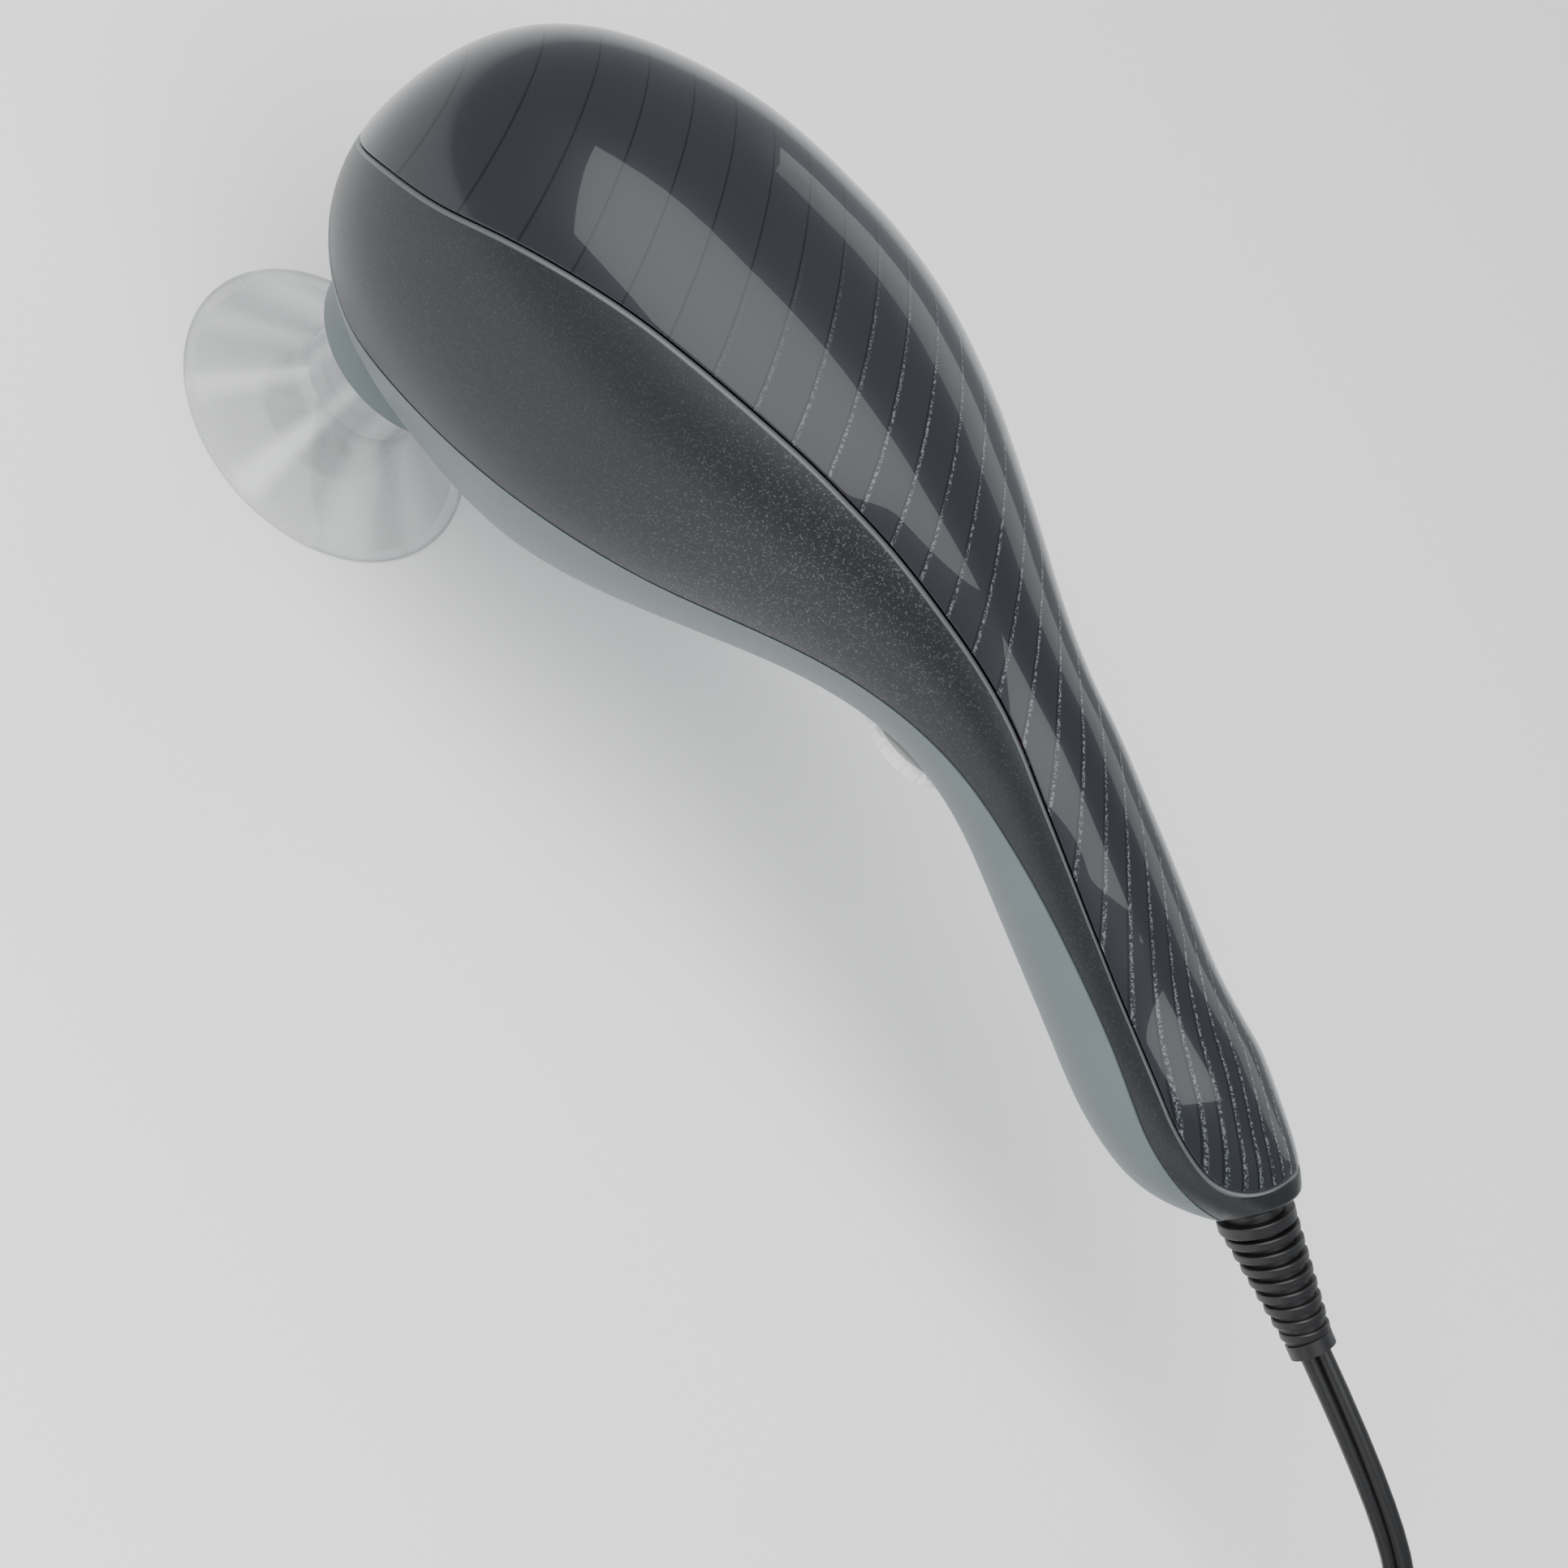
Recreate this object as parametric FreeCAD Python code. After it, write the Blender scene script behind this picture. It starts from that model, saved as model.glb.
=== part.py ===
"""Handheld wand massager, standing on its flat disc.

Frame: +Z is the drive axis, up from the disc towards the head; +X runs along the handle to the cord;
the origin is the centre of the disc's rim. All sizes are in millimetres.
"""
import FreeCAD, Part
import math
import os

V = FreeCAD.Vector
X_AXIS = V(1, 0, 0)
Y_AXIS = V(0, 1, 0)
Z_AXIS = V(0, 0, 1)

# ---------------------------------------------------------------- driving dimensions
# body outline
HEAD_FRONT = 42.4           # drive axis to the nose of the head
HEAD_PEAK = 40.0            # drive axis to the fattest section
HEAD_HALF_HEIGHT = 57.8
HEAD_HALF_WIDTH = 51.8
NECK_END = 160.0            # drive axis to where the head has run out into the handle
HANDLE_LENGTH = 78.0        # from there to where the handle begins to close
OUTLINE_HANDLE = 78.0       # the handle length that the outlines below are drawn for
TAIL_LENGTH = 37.0          # from there to where it would close to a point, were it not cut off
HANDLE_HALF_HEIGHT = 20.7
HANDLE_HALF_WIDTH = 20.4
NOSE_FULLNESS = 2.4         # exponents of the super-ellipses that round the two ends
TAIL_FULLNESS = 1.6
END_FACE_DEPTH = 8.2        # centre of the slanted end face, from that point; the cord leaves through it
END_FACE_Z = 85.0
END_FACE_TILT = 24.0        # its normal points this far below horizontal, degrees
# height of the section centres: (distance along X, height)
# in these outlines, what lies behind the neck moves with the handle length
SPINE = [(-43.0, 85.5), (-13.0, 88.2), (12.0, 92.6), (48.0, 98.4), (75.0, 105.0), (98.0, 110.7),
         (125.0, 113.9), (158.0, 110.2), (187.0, 101.6), (206.0, 95.2), (222.0, 90.0), (242.0, 86.7),
         (254.0, 86.3), (266.0, 88.5), (277.0, 91.5)]
# side view of the two parting lines, from in front of the nose to behind the tail
COVER_LINE = [(-50.0, 60.0), (-42.0, 73.0), (-30.0, 90.5), (-13.0, 105.0), (0.0, 115.0), (14.0, 123.5),
              (36.0, 132.5), (58.0, 137.5), (80.0, 139.0), (102.0, 137.2), (127.0, 132.0), (156.0, 124.0),
              (187.0, 113.5), (206.0, 106.8), (222.0, 101.5), (238.0, 97.0), (251.0, 93.3), (259.0, 92.6),
              (264.5, 95.5), (267.4, 101.0), (268.5, 112.0)]
SHELL_LINE = [(-50.0, 70.0), (-42.0, 68.0), (-30.0, 64.5), (-19.0, 59.5), (-8.0, 58.5), (4.0, 62.4),
              (27.6, 71.2), (55.0, 82.0), (80.0, 90.2), (109.0, 102.0), (135.0, 108.5), (162.0, 109.5),
              (183.0, 106.5), (203.0, 101.5), (222.0, 95.6), (240.0, 89.3), (257.0, 84.4), (285.0, 80.0)]
# housing
WALL = 2.4
COVER_WALL = 1.6
COVER_CLEARANCE = 0.15      # glossy cover to the saddle it is clipped on
SADDLE_WALL = 1.9
SADDLE_LAP = 3.0            # how far the saddle runs down inside the upper housing's edge
SEAM = 0.30                 # visible gap at each parting line
HOUSING_SCREW_R = 1.5
BOSS_R = 4.0
# output
CRANK_THROW = 1.5           # half the stroke of the orbiting stem
RUN = 0.05                  # radial clearance of shafts in bores
FREE = 0.6                  # air gap round moving pieces
COLLAR_RIM = 1.9            # collar left outside the pins
COLLAR_BOTTOM = 35.6
COLLAR_TOP = 46.0
DISC_R = 38.2
DISC_WALL = 1.8
DISC_NECK_WALL = 2.8
DISC_NECK_BOTTOM = 16.7
DISC_NECK_TOP = 34.8
DISC_WEB = 2.4
DISC_EDGE = 0.5             # chamfer of the disc's rim and mouth
DISC_FACE = 1.6             # thickness of the flat face
POST_R = 12.5
POST_BORE_R = 8.5
CARRIER_BOTTOM = 54.0
CARRIER_PLATE = 6.0
CARRIER_BOSS_R = 13.0
PIN_R = 2.5                 # pins that keep the carrier from turning
PIN_WALL = 1.8              # collar left between the bore and each pin
PIN_TOP = 62.0
PIN_DEPTH = 4.0             # how far they stand in the collar
PIN_ANGLES = (0, 120, 240)
CRANK_BEARING = (4.0, 9.5, 6.0)     # bore radius, outer radius, width
HUB_R = 11.0
HUB_HEIGHT = 7.4
WEIGHT_R = 19.0
FAN_R = 22.0
FAN_HEIGHT = 5.0
# motor
MOTOR_BOTTOM = 86.0
MOTOR_LENGTH = 36.0
MOTOR_R = 20.0
CAN_WALL = 1.2
MAGNET_THICKNESS = 3.0
AIR_GAP = 0.6
SHAFT_R = 2.5
MOTOR_BEARING = (SHAFT_R, 6.0, 4.0) # bore radius, outer radius, width
COMMUTATOR_R = 5.0
END_CAP_HEIGHT = 3.0
# motor frame
FRAME_PLATE = 3.0
LEG_R = 4.0
LEG_GAP = 1.0               # leg to the orbiting carrier
LEG_BOTTOM = 62.0
LEG_ANGLES = (50, 145, 215, 310)
GROMMET_HEIGHT = 2.0
FRAME_SCREW_R = 1.5
FRAME_SCREW_HEAD = (3.0, 2.0)       # radius, height
FRAME_SCREW_BITE = 8.0      # most thread in the boss
SCREW_FLOOR = 1.2           # shell left under a frame screw's tip
MOTOR_SCREW_R = 1.3
MOTOR_SCREW_HEAD = (2.4, 1.2)
MOTOR_SCREW_CIRCLE_R = 12.5
# dial and control board
DIAL_X = 140.0
DIAL_SEAT_Z = 94.2          # flat seat under the handle, on the dial's axis
DIAL_TILT = 8.0             # the seat rises towards the cord, degrees
DIAL_R = 15.6
DIAL_THICKNESS = 4.0
DIAL_GAP = 0.5
DIAL_RECESS = 0.8           # wider than the dial by this much all round
DIAL_SEAT_RIM = 3.0
DIAL_FLUTES = 24
DIAL_FLUTE_R = 1.1
SPINDLE_SOCKET = 1.2        # dial left below the spindle, and spindle stopped short of the board
SPINDLE_R = 3.0
POT_R = 8.5
POT_HEIGHT = 7.0
BOARD = (62.0, 26.0, 1.6)
BOARD_SHIFT = -7.0          # board centre from the dial's axis
# cord
CORD_R = 3.6
RELIEF_LENGTH = 37.0
RELIEF_TILT = 17.5          # the cord leaves this far below horizontal, degrees
RELIEF_RING_TILT = 29.0     # the rings lean with the end face
RELIEF_R = CORD_R + 5.4     # first ring
RELIEF_END_R = CORD_R + 2.2
RELIEF_CORE_R = (CORD_R + 3.4, CORD_R + 1.1)
RELIEF_RINGS = 8            # after the first
RELIEF_RING_WIDTHS = (3.0, 2.1)     # the first, the others
RELIEF_FIRST_RING = 3.6     # its middle, from the end face
RELIEF_LAST_RING = 5.4      # middle of the last one, back from the tip
RELIEF_NECK_R = CORD_R + 3.3
RELIEF_FLANGE_R = CORD_R + 6.0
RELIEF_FLANGE = 2.6
CLAMP_BACK = 28.0           # clamp to end face, along the cord
CLAMP_WIDTH = 6.0
CLAMP_HEIGHT = 6.0
CLAMP_SCREW_Y = CORD_R + 3.6
CLAMP_HALF_SPAN = CORD_R + 6.9
CORD_TAIL_INSIDE = 6.0      # cord past the clamp, inside the handle
CORD_LENGTH = 1800.0
# free cord from the strain relief down to the floor and round to the coil: points chosen by hand
LEAD_ROUTE = [(349.4, 0.0, 60.4), (367.4, 0.3, 41.3), (383.1, 3.1, 20.7), (405.7, -1.2, 9.4),
              (425.0, -17.3, 4.2), (434.1, -41.2, 3.6)]
TAIL_ROUTE = [(424.4, -90.3, 10.8), (408.1, -107.7, 10.5), (387.5, -118.4, 9.9), (365.1, -119.1, 9.2),
              (345.3, -110.7, 8.6)]
COIL_CENTRE = (390.0, -58.0)
COIL_MID_R = 40.0
COIL_TURNS_ACROSS = 3
COIL_LAYERS = 2
PLUG = (30.0, 24.0, 17.2)   # length, width, height
PLUG_RELIEF = (12.0, 5.0, 7.0)      # length, radius at the cord, radius at the grip
PLUG_ROUND = 3.0
BLADE = (16.0, 6.3, 1.5)
BLADE_PITCH = 12.7
BLADE_HOLE = (1.5, 4.5)     # radius, from the blade's tip

# ---------------------------------------------------------------- values worked out from them
TAIL_START = NECK_END + HANDLE_LENGTH
TAIL_END = TAIL_START + TAIL_LENGTH
END_FACE_X = TAIL_END - END_FACE_DEPTH
DRIVE_X = CRANK_THROW                       # motor axis; the stem hangs from the crank at x = 0
COLLAR_BORE_R = POST_R + CRANK_THROW + 2 * FREE
PIN_CIRCLE_R = COLLAR_BORE_R + PIN_WALL + PIN_R
COLLAR_R = PIN_CIRCLE_R + PIN_R + COLLAR_RIM
DISC_NECK_R = POST_R + DISC_NECK_WALL
WEB_TOP = DISC_NECK_BOTTOM + DISC_WALL + 1.1
POST_BOTTOM = WEB_TOP + RUN
CARRIER_TOP = CARRIER_BOTTOM + CARRIER_PLATE
CARRIER_BOSS_TOP = CARRIER_TOP + CRANK_BEARING[2] + 1.0
HUB_BOTTOM = CARRIER_BOSS_TOP + FREE
HUB_TOP = HUB_BOTTOM + HUB_HEIGHT
PIN_HOLE_R = PIN_R + CRANK_THROW + 0.4
CARRIER_R = PIN_CIRCLE_R + PIN_HOLE_R + 1.6
LEG_CIRCLE_R = CARRIER_R + CRANK_THROW + LEG_GAP + LEG_R
FAN_BOTTOM = HUB_TOP + 1.2
FRAME_TOP = MOTOR_BOTTOM
FRAME_BOTTOM = MOTOR_BOTTOM - FRAME_PLATE
MOTOR_TOP = MOTOR_BOTTOM + MOTOR_LENGTH
BOSS_TOP = LEG_BOTTOM - GROMMET_HEIGHT
MAGNET_R = MOTOR_R - CAN_WALL
ARMATURE_R = MAGNET_R - MAGNET_THICKNESS - AIR_GAP
SADDLE_FACE = COVER_WALL + COVER_CLEARANCE
SADDLE_INSIDE = SADDLE_FACE + SADDLE_WALL
RELIEF_START = V(END_FACE_X, 0, END_FACE_Z - 0.6)
RELIEF_AXIS = V(math.cos(math.radians(RELIEF_TILT)), 0, -math.sin(math.radians(RELIEF_TILT)))
RELIEF_TIP = RELIEF_START + RELIEF_AXIS * RELIEF_LENGTH
REACH = 2.0 * TAIL_END                      # larger than anything it cuts


# ---------------------------------------------------------------- plain shapes
def rod(radius, low, high, x=0.0, y=0.0):
    """Upright cylinder between two heights."""
    return Part.makeCylinder(radius, high - low, V(x, y, low))


def washer(inner, outer, low, high, x=0.0, y=0.0):
    return rod(outer, low, high, x, y).cut(rod(inner, low - 1, high + 1, x, y))


def block(low, high):
    return Part.makeBox(high[0] - low[0], high[1] - low[1], high[2] - low[2], V(*low))


def join(*shapes):
    """One solid from overlapping or touching shapes."""
    return shapes[0].multiFuse(list(shapes[1:])).removeSplitter()


def group(shapes):
    """Separate solids that share a node."""
    return Part.makeCompound(list(shapes))


def polar(radius, angle, x=0.0, y=0.0):
    """A point on a circle, as a pair."""
    turn = math.radians(angle)
    return x + radius * math.cos(turn), y + radius * math.sin(turn)


def turned(profile):
    """Solid of revolution about Z from (radius, height) corners."""
    corners = [V(r, 0, z) for r, z in profile]
    return Part.Face(Part.makePolygon(corners + corners[:1])).revolve(V(0, 0, 0), Z_AXIS, 360)


def route(points):
    """Straight runs joined by tangent arcs, with the arcs' radii and the length."""
    points = [V(*p) for p in points]
    edges, radii, start = [], [], points[0]
    for before, corner, after in zip(points, points[1:], points[2:]):
        back = (before - corner).normalize()
        ahead = (after - corner).normalize()
        reach = 0.45 * min((before - corner).Length, (after - corner).Length)
        half_turn = (math.pi - back.getAngle(ahead)) / 2
        radius = reach / math.tan(half_turn)
        middle = corner + (back + ahead).normalize() * (radius / math.cos(half_turn) - radius)
        first, last = corner + back * reach, corner + ahead * reach
        edges.append(Part.LineSegment(start, first).toShape())
        edges.append(Part.Arc(first, middle, last).toShape())
        radii.append(radius)
        start = last
    edges.append(Part.LineSegment(start, points[-1]).toShape())
    wire = Part.Wire(edges)
    return wire, radii, wire.Length


def tube(points, radius):
    """Round tube along a route."""
    wire, radii, length = route(points)
    heading = V(*points[1]) - V(*points[0])
    section = Part.Wire(Part.Circle(V(*points[0]), heading, radius).toShape())
    solid = wire.makePipeShell([section], True, True)
    return solid, radii, length


# ---------------------------------------------------------------- body surface
def stretched(points):
    """Outline points, with those behind the neck spread along the handle's real length."""
    extra = HANDLE_LENGTH - OUTLINE_HANDLE
    return [(x + extra * min(max((x - NECK_END) / OUTLINE_HANDLE, 0), 1), *rest) for x, *rest in points]


def through(points, x):
    """Height at x of a smooth curve through the points, each (x, height)."""
    last = len(points) - 1
    i = max(0, min(last - 1, sum(1 for p in points if p[0] <= x) - 1))

    def slope(k):
        low, high = points[max(k - 1, 0)], points[min(k + 1, last)]
        return (high[1] - low[1]) / (high[0] - low[0])

    (x0, z0), (x1, z1) = points[i], points[i + 1]
    span, s = x1 - x0, (x - x0) / (x1 - x0)
    rise = s * s * (3 - 2 * s)
    bend = s * (1 - s) * ((1 - s) * slope(i) - s * slope(i + 1))
    return z0 + (z1 - z0) * rise + span * bend


def half_size(x, inset, head, handle):
    """Half height or half width of the section at x, for a surface this far inside the outer one."""
    head, handle = head - inset, handle - inset
    if x < HEAD_PEAK:
        share = (HEAD_PEAK - x) / (HEAD_PEAK + HEAD_FRONT - inset)
        return head * (1 - share ** NOSE_FULLNESS) ** (1 / NOSE_FULLNESS)
    if x < NECK_END:
        share = (x - HEAD_PEAK) / (NECK_END - HEAD_PEAK)
        return handle + (head - handle) * (1 + math.cos(math.pi * share)) / 2
    if x <= TAIL_START:
        return handle
    share = (x - TAIL_START) / (TAIL_END - inset - TAIL_START)
    return handle * (1 - share ** TAIL_FULLNESS) ** (1 / TAIL_FULLNESS)


def half_sizes(x, inset=0.0):
    return (half_size(x, inset, HEAD_HALF_HEIGHT, HANDLE_HALF_HEIGHT),
            half_size(x, inset, HEAD_HALF_WIDTH, HANDLE_HALF_WIDTH))


def underside(x, y, inset=0.0):
    """Height of the lower surface at a point."""
    tall, wide = half_sizes(x, inset)
    return through(SPINE, x) - tall * math.sqrt(1 - (y / wide) ** 2)


def stations(inset):
    """Where the sections stand: close together where the ends round off."""
    nose = HEAD_PEAK + HEAD_FRONT - inset
    tail = TAIL_END - inset - TAIL_START
    front = [HEAD_PEAK - nose * math.sin(math.radians(a)) for a in (86.5, 82, 76, 68, 58, 46, 32, 16)]
    neck = [HEAD_PEAK + (NECK_END - HEAD_PEAK) * k / 8 for k in range(9)]
    handle = [NECK_END + (TAIL_START - NECK_END) * k / 4 for k in range(1, 5)]
    closing = [TAIL_START + tail * share for share in (0.2, 0.4, 0.58, 0.74, 0.87, 0.95)]
    return front + neck + handle + closing


def end_cut(inset=0.0):
    """Everything behind the slanted end face."""
    tilt = math.radians(END_FACE_TILT)
    face = V(END_FACE_X - inset / math.cos(tilt), 0, END_FACE_Z)
    slab = Part.makeBox(REACH, REACH, REACH, V(0, -REACH / 2, -REACH / 2))
    slab.Placement = FreeCAD.Placement(face, FreeCAD.Rotation(Y_AXIS, END_FACE_TILT))
    return slab


def oval(centre, tall, wide):
    """Upright ellipse that starts at its top, whether it is taller or wider."""
    if tall >= wide:
        return Part.Ellipse(centre + Z_AXIS * tall, centre + Y_AXIS * wide, centre).toShape()
    flat = Part.Ellipse(centre - Y_AXIS * wide, centre + Z_AXIS * tall, centre)
    return Part.ArcOfEllipse(flat, math.pi / 2, 5 * math.pi / 2).toShape()


def body(inset):
    """Solid bounded by the surface this far inside the outer one."""
    sections = []
    for x in stations(inset):
        tall, wide = half_sizes(x, inset)
        centre = V(x, 0, through(SPINE, x))
        sections.append(Part.Wire(oval(centre, tall, wide)))
    return Part.makeLoft(sections, True, False).cut(end_cut(inset))


def above(line, lift=0.0):
    """Everything above a parting line seen from the side."""
    points = [V(x, -REACH / 2, z + lift) for x, z in line]
    curve = Part.BSplineCurve()
    curve.interpolate(points)
    high = V(0, 0, REACH)
    corners = [points[-1], points[-1] + high, points[0] + high, points[0]]
    return Part.Face(Part.Wire([curve.toShape()] + Part.makePolygon(corners).Edges)).extrude(Y_AXIS * REACH)


SPINE = stretched(SPINE)
COVER_LINE = stretched(COVER_LINE)
SHELL_LINE = stretched(SHELL_LINE)
OUTSIDE = body(0.0)
HALF_WALL = body(WALL / 2)
INSIDE = body(WALL)
CLEAR_INSIDE = body(WALL + FREE)
SADDLE_OUT = body(SADDLE_FACE)
SADDLE_MIDDLE = body(SADDLE_FACE + SADDLE_WALL / 2)
SADDLE_IN = body(SADDLE_INSIDE)
COVER_IN = body(COVER_WALL)
ABOVE_COVER_LINE = above(COVER_LINE)
ABOVE_SHELL_LINE = above(SHELL_LINE)


def rooted_below(shape):
    """An inner feature of the lower shell: grows into its wall, and clears the upper housing."""
    return join(shape.common(HALF_WALL).cut(ABOVE_SHELL_LINE), shape.common(CLEAR_INSIDE))


# ---------------------------------------------------------------- housing
# x, y either side, thread
HOUSING_SCREWS = stretched([(72.0, 27.0, 11.0), (178.0, 9.0, 6.0), (222.0, 9.0, 6.0)])
SCREW_HEAD = (2.9, 2.2)     # radius, height
SCREW_HEAD_GAP = 0.3
SCREW_SINK = 4.0            # how deep each head sits in the underside


def screw_places():
    return [(x, side * y, thread) for x, y, thread in HOUSING_SCREWS for side in (-1, 1)]


def screw_split(x):
    return through(SHELL_LINE, x)


def screw_seat(x, y):
    return underside(x, y) + SCREW_SINK + SCREW_HEAD[1]


def frame_points():
    return [polar(LEG_CIRCLE_R, angle, DRIVE_X) for angle in LEG_ANGLES]


def frame_screw_tip(x, y):
    """Lower end of a frame screw: as deep as it bites, but inside the shell."""
    further = 1 + FRAME_SCREW_R / LEG_CIRCLE_R
    outer_skin = underside(DRIVE_X + (x - DRIVE_X) * further, y * further)
    return max(BOSS_TOP - FRAME_SCREW_BITE, outer_skin + SCREW_FLOOR)


def pin_points():
    return [polar(PIN_CIRCLE_R, angle, DRIVE_X) for angle in PIN_ANGLES]


def top_cover():
    return OUTSIDE.cut(COVER_IN).common(above(COVER_LINE, SEAM))


def upper_housing():
    skirt = OUTSIDE.cut(INSIDE).cut(ABOVE_COVER_LINE).common(above(SHELL_LINE, SEAM))
    saddle = SADDLE_OUT.cut(SADDLE_IN).common(above(COVER_LINE, -SADDLE_LAP)).common(above(SHELL_LINE, SEAM))
    bosses = []
    for x, y, thread in screw_places():
        low = screw_split(x) + SEAM
        bosses.append(rod(BOSS_R, low, REACH / 2, x, y).common(SADDLE_MIDDLE))
    shell = join(skirt, saddle, *bosses)
    for x, y, thread in screw_places():
        shell = shell.cut(rod(HOUSING_SCREW_R, screw_split(x) - 1, screw_split(x) + thread + 1, x, y))
    return shell.cut(relief_hole())


def lower_shell():
    skin = OUTSIDE.cut(INSIDE).cut(ABOVE_SHELL_LINE)
    collar = rod(COLLAR_R, COLLAR_BOTTOM, COLLAR_TOP, DRIVE_X)
    seat_pad = in_dial_frame(rod(DIAL_R + DIAL_SEAT_RIM, -20, WALL)).common(OUTSIDE).cut(ABOVE_SHELL_LINE)
    inner = [rod(BOSS_R, 0, BOSS_TOP, x, y) for x, y in frame_points()]
    inner += [in_dial_frame(rod(BOARD_BOSS_R, -20, BOARD_LOW, x)) for x in board_screw_places()]
    for x, y, thread in screw_places():
        inner.append(rod(BOSS_R, 0, screw_split(x), x, y).cut(ABOVE_SHELL_LINE))
    inner.append(in_cord_frame(clamp_block(-2 * HANDLE_HALF_HEIGHT, 0)))
    shell = join(skin, collar, seat_pad, *[rooted_below(shape) for shape in inner])
    shell = shell.cut(rod(COLLAR_BORE_R, 0, CARRIER_BOTTOM, DRIVE_X))
    shell = shell.cut(rod(SEAL_GROOVE[1], SEAL_GROOVE[2], SEAL_GROOVE[3], DRIVE_X))
    shell = shell.cut(in_dial_frame(rod(DIAL_R + DIAL_RECESS, -20, 0)))
    shell = shell.cut(in_dial_frame(rod(SPINDLE_R + 2 * RUN, -1, WALL + 1)))
    for x, y, thread in screw_places():
        shell = shell.cut(rod(SCREW_HEAD[0] + SCREW_HEAD_GAP, 0, screw_seat(x, y), x, y))
        shell = shell.cut(rod(HOUSING_SCREW_R + 0.2, 0, REACH / 2, x, y))
    for x, y in frame_points():
        shell = shell.cut(rod(FRAME_SCREW_R + RUN, frame_screw_tip(x, y) - RUN, FRAME_BOTTOM, x, y))
    for x, y in pin_points():
        shell = shell.cut(rod(PIN_R, COLLAR_TOP - PIN_DEPTH, CARRIER_BOTTOM, x, y))
    for x in board_screw_places():
        shell = shell.cut(in_dial_frame(rod(BOARD_SCREW_R, 0, POT_HEIGHT + WALL + 2, x)))
    shell = shell.cut(in_cord_frame(group(clamp_screw_holes())))
    return shell.cut(relief_hole()).cut(cord_core())


def housing_screws():
    screws = []
    for x, y, thread in screw_places():
        seat = screw_seat(x, y)
        shank = rod(HOUSING_SCREW_R, seat, screw_split(x) + thread, x, y)
        screws.append(join(rod(SCREW_HEAD[0], seat - SCREW_HEAD[1], seat, x, y), shank))
    return group(screws)


SEAL_GROOVE = (POST_R + CRANK_THROW + 0.35, COLLAR_BORE_R + 2.0, 39.0, 41.0)   # inner, outer, low, high


def collar_seal():
    return washer(*SEAL_GROOVE, DRIVE_X)


# ---------------------------------------------------------------- output: disc, post, carrier, crank
def disc_cup():
    slope = math.atan2(DISC_NECK_BOTTOM, DISC_R - DISC_NECK_R)
    inner_foot = DISC_R - DISC_WALL / math.sin(slope)
    inner_top = WEB_TOP - DISC_WEB
    inner_r = inner_foot - inner_top / math.tan(slope)
    outside = [(DISC_R - DISC_EDGE, 0), (DISC_R, DISC_EDGE), (DISC_NECK_R, DISC_NECK_BOTTOM),
               (DISC_NECK_R, DISC_NECK_TOP - DISC_EDGE), (DISC_NECK_R - DISC_EDGE, DISC_NECK_TOP)]
    socket = [(POST_R + RUN, DISC_NECK_TOP), (POST_R + RUN, WEB_TOP), (0, WEB_TOP)]
    inside = [(0, inner_top), (inner_r, inner_top), (inner_foot, 0)]
    cup = turned(outside + socket + inside)
    return cup.cut(disc_face())


def disc_face():
    """Flat face that closes the cup."""
    slope = math.atan2(DISC_NECK_BOTTOM, DISC_R - DISC_NECK_R)
    edge = DISC_R - DISC_WALL / math.sin(slope)
    return turned([(0, 0), (edge, 0), (edge - DISC_FACE / math.tan(slope), DISC_FACE), (0, DISC_FACE)])


O_RING_R = 0.9
O_RING_Z = 30.0
POST_SPIGOT_R = 6.0
POST_SPIGOT = 3.0           # how far it stands in the carrier
POST_HEAD = 5.0             # solid top of the post, over its bore
POST_SCREW_R = 2.0


def o_ring():
    return Part.makeTorus(POST_R - O_RING_R, O_RING_R, V(0, 0, O_RING_Z))


def output_post():
    spigot = rod(POST_SPIGOT_R, CARRIER_BOTTOM, CARRIER_BOTTOM + POST_SPIGOT)
    post = join(rod(POST_R, POST_BOTTOM, CARRIER_BOTTOM), spigot)
    post = post.makeChamfer(0.8, [e for e in post.Edges if abs(e.BoundBox.ZMax - POST_BOTTOM) < 0.01])
    post = post.cut(rod(POST_BORE_R, POST_BOTTOM - 1, CARRIER_BOTTOM - POST_HEAD))
    post = post.cut(rod(POST_SCREW_R, POST_BOTTOM, REACH / 4))
    return post.cut(washer(POST_R - 2 * O_RING_R, POST_R + 1, O_RING_Z - O_RING_R, O_RING_Z + O_RING_R))


def post_screw():
    low = CARRIER_BOTTOM - POST_HEAD
    return join(rod(4.0, low - 2.4, low), rod(POST_SCREW_R, low, CARRIER_TOP - 1.5))


def stem_carrier():
    boss = rod(CARRIER_BOSS_R, CARRIER_TOP, CARRIER_BOSS_TOP)
    carrier = join(rod(CARRIER_R, CARRIER_BOTTOM, CARRIER_TOP), boss)
    carrier = carrier.cut(rod(POST_SPIGOT_R, CARRIER_BOTTOM - 1, CARRIER_BOTTOM + POST_SPIGOT))
    carrier = carrier.cut(rod(POST_SCREW_R, CARRIER_BOTTOM, CARRIER_TOP - 1.5))
    pocket_floor = CARRIER_BOSS_TOP - CRANK_BEARING[2]
    carrier = carrier.cut(rod(CRANK_BEARING[1], pocket_floor, CARRIER_BOSS_TOP + 1))
    carrier = carrier.cut(rod(CRANK_BEARING[1] - 1.5, pocket_floor - 0.8, pocket_floor + 1))
    for angle in PIN_ANGLES:
        for place in (polar(PIN_CIRCLE_R, angle), polar(PIN_CIRCLE_R, angle + 60)):
            carrier = carrier.cut(rod(PIN_HOLE_R, CARRIER_BOTTOM - 1, CARRIER_TOP + 1, *place))
    return carrier


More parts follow.
